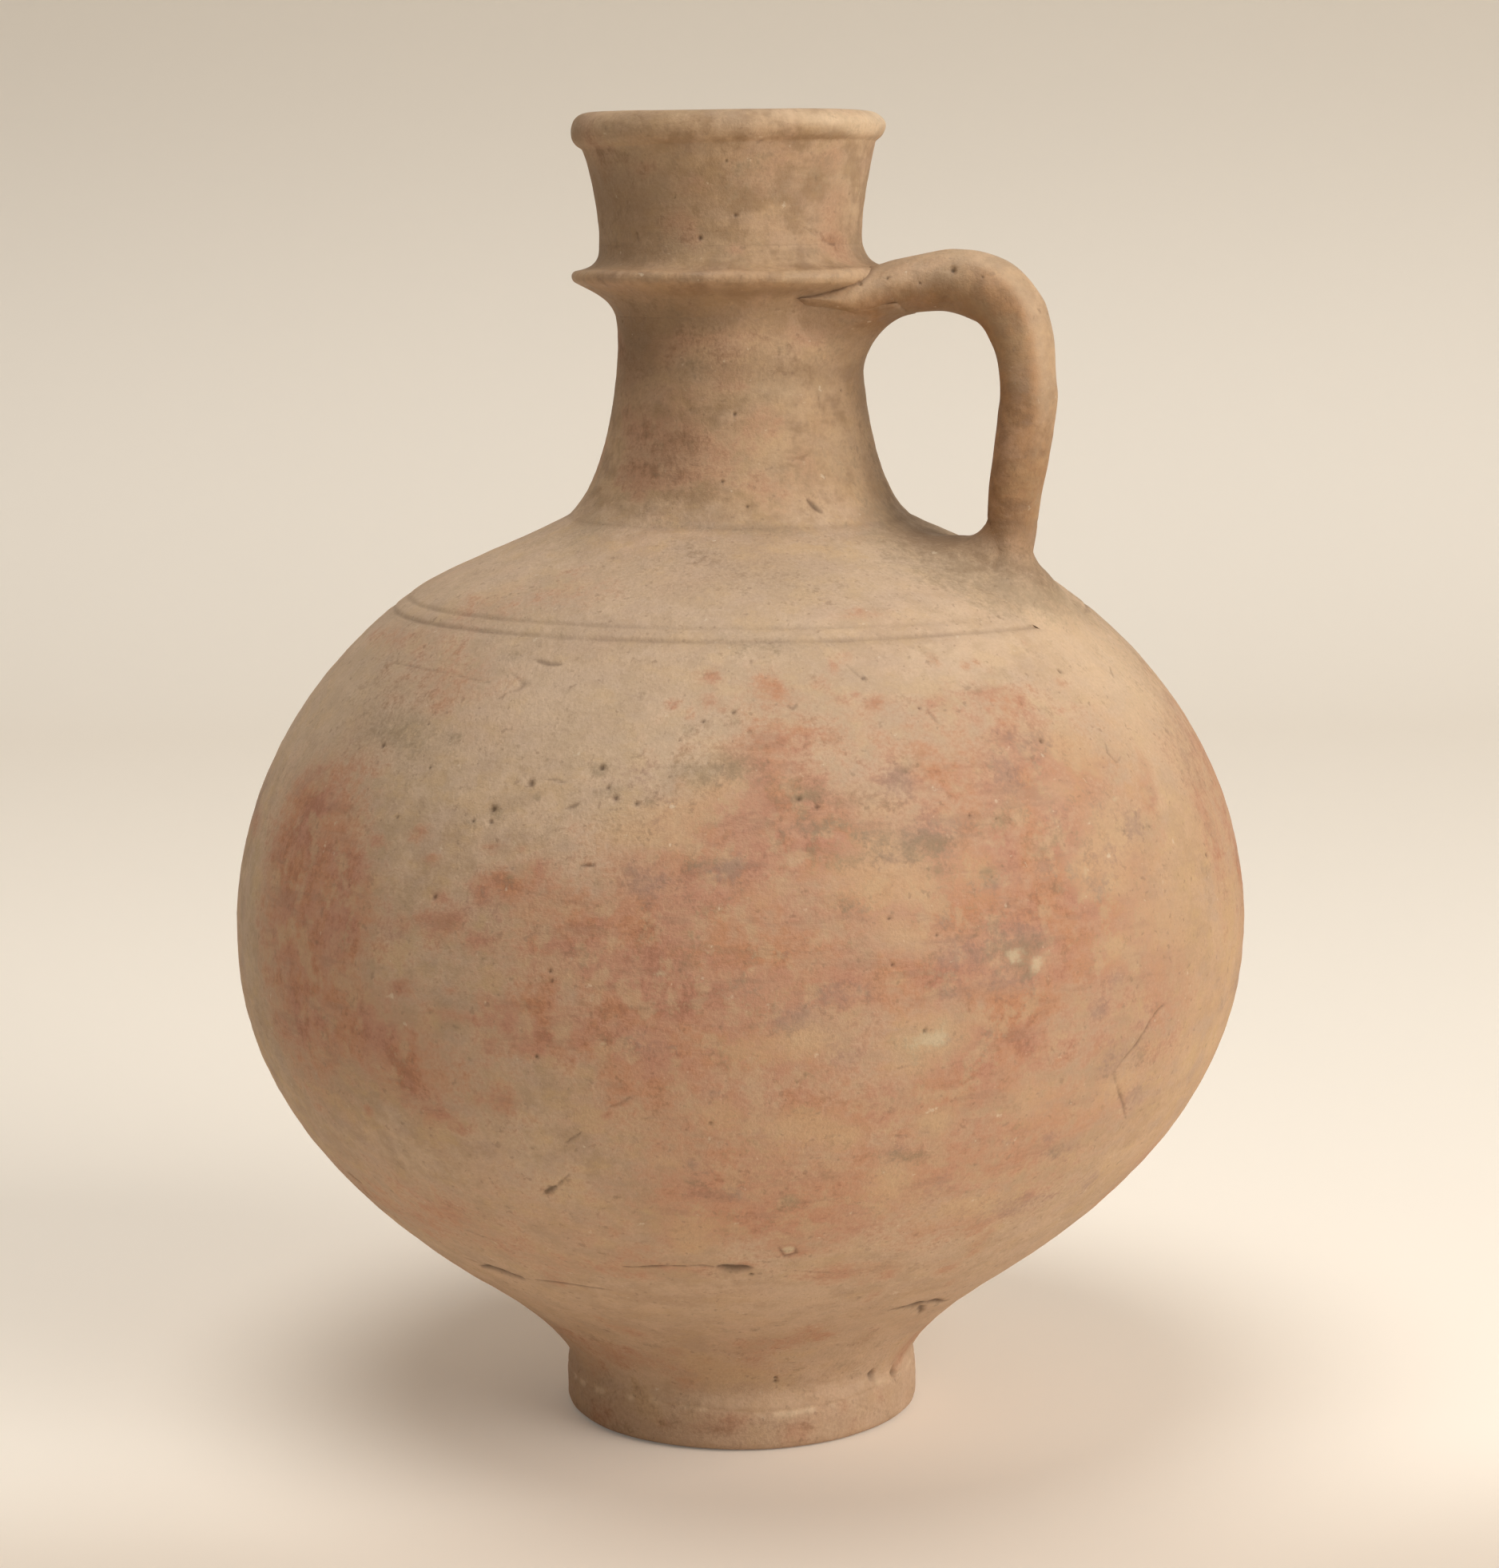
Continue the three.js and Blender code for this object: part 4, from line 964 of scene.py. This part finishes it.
def make_upper_luting():
    """The fillet under the handle's root: the neck's skin swelling out to the bar's underside."""
    columns, rows, tall, deep, half_width, neck_r, top_z = 71, 54, 19.0, 17.0, 21.0, 28.5, 253.8
    share = np.linspace(-1, 1, columns)
    low_z = 232.65 + 18.6 * share ** 2
    t = np.linspace(0, 1, rows)[:, None]
    z = low_z - 0.8 + t * (top_z - low_z + 0.8)
    h = np.clip((z - low_z) / tall, 0, 0.985)
    swell = deep * (1 - np.sqrt(1 - h ** 2)) - 0.1
    wall = np.interp(z, WALL_Z, WALL_R)
    aside = share * half_width / neck_r
    radii = np.linspace(28, 44, 81)
    bar_width = bar_form(np.interp(radii, handle_path[:100, 0], path_length[:100]))[0] - 0.8
    under_bar = radii * np.abs(np.sin(aside))[:, None] < bar_width
    swell = np.minimum(swell, radii[0] + under_bar.sum(1) * (radii[1] - radii[0]) - wall)
    turn = BEARING + aside

    def laid(out):
        """The fillet's points, this far out from the wall."""
        return np.stack([wander(z) + (wall + out) * np.cos(turn), (wall + out) * np.sin(turn), z], -1)

    front, back = laid(swell), laid(-1.6 + 0 * swell)
    count = rows * columns
    edge = list(range(columns))
    edge += [i * columns + columns - 1 for i in range(1, rows)]
    edge += [(rows - 1) * columns + j for j in range(columns - 2, -1, -1)]
    edge += [i * columns for i in range(rows - 2, 0, -1)]
    quads = []
    for i in range(rows - 1):
        for j in range(columns - 1):
            a = i * columns + j
            quads.append([a, a + 1, a + columns + 1, a + columns])
            quads.append([count + a, count + a + columns, count + a + columns + 1, count + a + 1])
    quads += [[b, a, count + a, count + b] for a, b in zip(edge, edge[1:] + edge[:1])]
    normals = np.cross(np.gradient(front, axis=1), np.gradient(front, axis=0))
    normals /= np.linalg.norm(normals, axis=2)[..., None] + 1e-9
    verts = np.vstack([front.reshape(-1, 3), back.reshape(-1, 3)])
    skin = np.concatenate([np.ones(count), np.zeros(count)])
    return build("upper_luting_clay", verts, quads, np.vstack([normals.reshape(-1, 3)] * 2), skin, knead,
                 refine=False)


# Clay

def srgb(r, g, b):
    """A colour written as it looks on a screen, 0 to 255, as the shader wants it."""
    values = [v / 255 for v in (r, g, b)]
    return tuple(v / 12.92 if v <= 0.04045 else ((v + 0.055) / 1.055) ** 2.4 for v in values) + (1.0,)


class Shader:
    """A new material's nodes. Each method adds some, links them up and returns their result."""

    def __init__(self, name):
        self.material = bpy.data.materials.new(name)
        self.material.use_nodes = True
        self.tree = self.material.node_tree
        self.tree.nodes.clear()
        self.where = self.node("ShaderNodeTexCoord").outputs["Object"]
        self.place = self.node("ShaderNodeSeparateXYZ", {0: self.where}).outputs

    def node(self, kind, inputs=None, **settings):
        made = self.tree.nodes.new(kind)
        for key, value in settings.items():
            setattr(made, key, value)
        for key, value in (inputs or {}).items():
            if isinstance(value, bpy.types.NodeSocket):
                self.tree.links.new(value, made.inputs[key])
            else:
                made.inputs[key].default_value = value
        return made

    def maths(self, operation, a, b):
        return self.node("ShaderNodeMath", {0: a, 1: b}, operation=operation).outputs[0]

    def times(self, value, *factors):
        for factor in factors:
            value = self.maths("MULTIPLY", value, factor)
        return value

    def rest(self, value):
        return self.maths("SUBTRACT", 1.0, value)

    def weigh(self, *pairs):
        """A sum of values, each with its weight."""
        total = None
        for value, weight in pairs:
            part = self.times(value, weight)
            total = part if total is None else self.maths("ADD", total, part)
        return total

    def stretch(self, value, low, high, to_low, to_high):
        """A value from low to high, moved to run from to_low to to_high."""
        ends = {"From Min": low, "From Max": high, "To Min": to_low, "To Max": to_high}
        return self.node("ShaderNodeMapRange", {"Value": value, **ends}).outputs["Result"]

    def ramp(self, value, low, high):
        """0 below low and 1 above high, smooth between."""
        inputs = {"Value": value, "From Min": low, "From Max": high}
        return self.node("ShaderNodeMapRange", inputs, interpolation_type="SMOOTHSTEP").outputs["Result"]

    def blend(self, share, a, b):
        """Colour a, covered with colour b by a share."""
        a, b = (v if isinstance(v, bpy.types.NodeSocket) else srgb(*v) for v in (a, b))
        return self.node("ShaderNodeMix", {0: share, 6: a, 7: b}, data_type="RGBA").outputs[2]

    def spots(self, size, detail=4, rough=0.6, axes=(1, 1, 1), at=0):
        """Noise from 0 to 1 with lumps of about a size in millimetres, closer together along stretched axes."""
        mapped = self.node("ShaderNodeMapping", {"Vector": self.where, "Scale": axes, "Location": (at, at, at)})
        inputs = {"Vector": mapped.outputs[0], "Scale": 1000.0 / size, "Detail": detail, "Roughness": rough}
        return self.node("ShaderNodeTexNoise", inputs).outputs["Fac"]

    def lumps(self, *args, **kwargs):
        """The same noise, stretched to run from about -0.5 to 0.5."""
        return self.stretch(self.spots(*args, **kwargs), 0.36, 0.64, -0.5, 0.5)

    def shares(self, name):
        """The four shares that a colour attribute keeps."""
        kept = self.node("ShaderNodeAttribute", attribute_name=name, attribute_type="GEOMETRY")
        parts = self.node("ShaderNodeSeparateColor", {"Color": kept.outputs["Color"]})
        return [parts.outputs[k] for k in ("Red", "Green", "Blue")] + [kept.outputs["Alpha"]]

    def finish(self, surface):
        self.node("ShaderNodeOutputMaterial", {"Surface": surface.outputs[0]}).is_active_output = True
        return self.material


def make_clay(name):
    """The one clay of all the pieces: buff slip, tinted by place, with stains, wear, dirt and marks,
    and with painted light and shade: warm light on the right, a paler low part, highlights and shade.
    """
    s = Shader(name)
    rose, green, lilac, tan = s.shares("stain")
    dark, neck, handle, painted_warm_light = s.shares("mark")
    patina_and_shade, wear_and_highlight, cream, upright = s.shares("coat")
    off_handle, height = s.rest(handle), s.place["Z"]

    broad = s.lumps(70, 3, 0.55)
    patch = s.lumps(15, at=3)
    blot = s.lumps(5.5, at=17)
    fine = s.lumps(2.2, 4, 0.65, at=7)
    grain = s.lumps(0.8, 3, 0.7, at=11)
    wiped = s.times(s.lumps(7, 5, 0.65, (0.3, 0.3, 2.0), 5), off_handle)
    streak = s.times(s.lumps(5, axes=(1.5, 1.5, 0.3), at=71), handle)
    band = s.times(s.lumps(11, 3, 0.5, (0.12, 0.12, 1.2), 75), neck, off_handle)
    tone = s.weigh((broad, 0.45), (patch, 0.42), (blot, 0.56), (fine, 0.34), (wiped, 0.3), (streak, 0.3),
                   (band, 0.38))
    warm = s.weigh((s.lumps(24, at=41), 1.0), (blot, 0.4))
    hue = s.weigh((s.lumps(6.5, 5, 0.6, (0.7, 0.7, 1.2), 91), 1.0), (blot, -0.2), (grain, 0.15))
    ragged = s.weigh((patch, 0.3), (blot, 0.45), (fine, 0.42), (grain, 0.3), (wiped, 0.35))
    speckled = s.weigh((blot, 0.5), (fine, 0.55), (grain, 0.35))
    mottle = s.ramp(s.weigh((s.lumps(6, 5, 0.65, at=81), 1.0), (grain, 0.2)), 0.0, 0.45)
    brushed = s.ramp(s.lumps(4, 5, 0.65, (0.3, 0.3, 1.5), 95), 0.05, 0.55)
    soil = s.weigh((s.lumps(5, 5, 0.7, at=61), 1.0), (fine, 0.5), (grain, 0.3))
    orange = s.ramp(s.weigh((s.lumps(12, 3, 0.6, at=51), 1.0), (fine, 0.3)), -0.4, 0.4)

    # Painted bounce light: the low part of the jug made paler, fully below 30 mm and fading out by 90 mm
    painted_low_light = s.rest(s.ramp(height, 0.03, 0.09))
    calmer = s.rest(s.times(s.maths("MAXIMUM", neck, painted_low_light), 0.5))
    pale = s.maths("SUBTRACT", s.ramp(height, 0.135, 0.172), s.ramp(height, 0.196, 0.209))
    rust = s.blend(orange, (180, 127, 103), (186, 130, 94))
    rust = s.blend(s.times(s.ramp(height, 0.12, 0.06), 0.6), rust, (194, 146, 119))
    rust = s.blend(neck, rust, (158, 117, 86))
    # The colour of wear and of the painted highlights: pale, and orange along the handle's upright
    wear_and_highlight_colour = s.blend(upright, (222, 194, 160), (200, 152, 108))

    def tinted(body, throat, bar):
        return s.blend(handle, s.blend(neck, body, throat), bar)

    def stained(amount, reach, low, high, strength, breaks=ragged):
        shown = s.ramp(s.weigh((amount, 1.0), (breaks, reach)), low, high)
        return s.times(shown, s.ramp(amount, 0.02, 0.2), strength)

    low = tinted((176, 146, 116), (156, 125, 93), (137, 103, 72))
    high = tinted((200, 171, 142), (192, 160, 126), (168, 128, 90))
    colour = s.blend(s.ramp(tone, -0.5, 0.45), low, high)
    for share, shade in (
        (s.times(s.ramp(warm, 0.0, 0.7), 0.3), (198, 158, 129)),
        (s.times(s.ramp(warm, 0.0, -0.7), 0.3), (180, 156, 124)),
        # Painted warm light on the right side
        (s.times(painted_warm_light, 0.5), (206, 162, 120)),
        (s.times(s.ramp(hue, 0.02, 0.55), 0.35, calmer), (204, 168, 120)),
        (s.times(s.ramp(hue, -0.02, -0.55), 0.32, calmer), (178, 152, 134)),
        (s.times(pale, 0.34), (210, 184, 156)),
        # Painted bounce light on the low part
        (s.times(painted_low_light, 0.28), (216, 178, 148)),
        (stained(rose, 0.5, 0.0, 0.8, 0.9), (190, 145, 115)),
        (stained(rose, 0.75, 0.3, 1.1, 0.88), rust),
        (stained(rose, 1.1, 0.85, 1.45, 0.5), (150, 100, 76)),
        (s.times(mottle, s.ramp(rose, 0.25, 0.8), 0.55), (194, 163, 128)),
        (s.times(brushed, s.ramp(rose, 0.2, 0.8), 0.42), (158, 120, 96)),
        (stained(tan, 0.7, 0.2, 0.8, 0.6), (200, 166, 128)),
        (stained(lilac, 0.9, 0.15, 1.1, 0.62, speckled), (156, 128, 112)),
        (stained(green, 0.8, 0.08, 1.2, 0.66, speckled), (142, 123, 96)),
        # Patina and dirt with painted shade, then wear with painted highlights
        (stained(patina_and_shade, 0.5, 0.0, 0.95, 0.8), (128, 100, 73)),
        (stained(wear_and_highlight, 0.2, 0.0, 1.0, 0.78), wear_and_highlight_colour),
        (stained(cream, 0.5, 0.25, 0.7, 0.75), (204, 183, 150)),
        (s.times(s.ramp(soil, 0.25, 0.9), 0.34), (140, 116, 90)),
        (s.times(s.ramp(s.spots(1.7, 2, 0.5, at=21), 0.64, 0.74), 0.34), (122, 96, 74)),
        (s.times(s.ramp(s.spots(2.6, 3, at=31), 0.68, 0.76), 0.45), (222, 203, 176)),
        (s.times(s.ramp(grain, -0.5, 0.5), 0.14), (148, 120, 95)),
        (s.times(dark, 0.85), (80, 59, 42)),
    ):
        colour = s.blend(share, colour, shade)

    grit = s.weigh((fine, 0.6), (grain, 0.28), (wiped, 0.3))
    bump = s.node("ShaderNodeBump", {"Strength": 0.5, "Distance": 0.0003, "Height": grit})
    rough = s.maths("SUBTRACT", s.stretch(blot, -0.5, 0.5, 0.62, 0.85), s.times(wear_and_highlight, 0.25))
    return s.finish(s.node("ShaderNodeBsdfPrincipled", {
        "Base Color": colour, "Roughness": rough, "Specular IOR Level": 0.35, "Normal": bump.outputs[0]}))


PIECES = [
    (make_foot, "foot", "foot_clay"),
    (make_lower_body, "lower_body", "body_clay"),
    (make_upper_body, "upper_body", "body_clay"),
    (make_neck, "neck", "neck_clay"),
    (make_collar, "collar", "neck_clay"),
    (make_mouth, "mouth", "neck_clay"),
    (make_handle, "handle", "handle_clay"),
    (make_upper_luting, "upper_luting", "luting_clay"),
    (make_lower_luting, "lower_luting", "luting_clay"),
]
SLOTS = ("body_clay", "foot_clay", "neck_clay", "handle_clay", "luting_clay")
clays = {slot: make_clay(slot) for slot in SLOTS}
for make, replaced, slot in PIECES:
    piece = make()
    piece.data.materials.append(clays[slot])
    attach(piece, "root")
    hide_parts(replaced)


# Floor and backdrop, lamps and camera, in metres

def make_paper():
    """Pale matt paper. To the camera alone it glows a little, is painted darker higher up behind the jug,
    and has a painted shadow on the floor in front of the jug.
    """
    s = Shader("paper")
    seen = s.node("ShaderNodeLightPath").outputs["Is Camera Ray"]
    # Painted shade: darker higher up, seen by the camera only
    shaded = s.blend(s.times(s.ramp(s.place["Z"], 0.05, 0.5), seen), (250, 241, 228), (216, 206, 192))
    # Painted shadow: the floor darker near and in front of the jug, seen by the camera only
    shaded = s.blend(s.times(s.ramp(s.place["Y"], -0.02, -0.13), 0.75, seen), shaded, (212, 197, 180))
    return s.finish(s.node("ShaderNodeBsdfPrincipled", {
        "Base Color": shaded, "Emission Color": shaded, "Roughness": 0.9, "Specular IOR Level": 0.1,
        "Emission Strength": s.times(seen, 0.1)}))


def make_backdrop():
    """One sheet that is the floor and curves up behind the jug."""
    across, front, bend, back, top = 4.0, -3.5, 0.5, 1.6, 3.2
    turn = np.linspace(0, math.pi / 2, 25)
    outline = [(front, 0.0), (back - bend, 0.0)]
    outline += [(back - bend + bend * math.sin(t), bend - bend * math.cos(t)) for t in turn[1:]]
    outline += [(back, top)]
    verts = [(x, y, z) for y, z in outline for x in (-across, across)]
    faces = [(2 * i, 2 * i + 1, 2 * i + 3, 2 * i + 2) for i in range(len(outline) - 1)]
    mesh = bpy.data.meshes.new("backdrop")
    mesh.from_pydata(verts, [], faces)
    mesh.polygons.foreach_set("use_smooth", [True] * len(faces))
    mesh.materials.append(make_paper())
    sheet = link(bpy.data.objects.new("backdrop", mesh))


def area_light(name, place, width, watts, colour):
    """A round lamp that faces the middle of the jug."""
    data = bpy.data.lights.new(name, "AREA")
    data.shape, data.size, data.energy, data.color = "DISK", width, watts, colour
    lamp = link(bpy.data.objects.new(name, data))
    lamp.location = place
    lamp.rotation_euler = (Vector(place) - Vector((0, 0, 0.12))).to_track_quat("Z", "Y").to_euler()


def make_camera():
    """The camera as it was fitted to the photograph: its lens, place, tilt and roll."""
    focal_pixels, frame_pixels, sensor_mm = 4440, 1876, 36.0
    place, tilt, roll = (0.00234, -0.8, 0.2701), math.radians(90 - 8.9), math.radians(-0.52)
    data = bpy.data.cameras.new("camera")
    data.sensor_fit = "HORIZONTAL"
    data.sensor_width = sensor_mm
    data.lens = focal_pixels / frame_pixels * sensor_mm
    camera = link(bpy.data.objects.new("camera", data))
    turned_by = Matrix.Rotation(tilt, 4, "X") @ Matrix.Rotation(roll, 4, "Z")
    camera.matrix_world = Matrix.Translation(place) @ turned_by
    bpy.context.scene.camera = camera


make_backdrop()
area_light("key", (1.65, -1.15, 1.05), 1.7, 34, (1.0, 0.975, 0.93))
area_light("top", (-0.2, -0.3, 1.8), 1.1, 14.5, (1.0, 0.98, 0.95))
make_camera()

world = bpy.data.worlds.new("room")
world.use_nodes = True
room_light = world.node_tree.nodes["Background"].inputs
room_light["Color"].default_value = (1.0, 0.98, 0.95, 1)
room_light["Strength"].default_value = 0.2
bpy.context.scene.world = world
bpy.context.scene.view_settings.view_transform = "Standard"
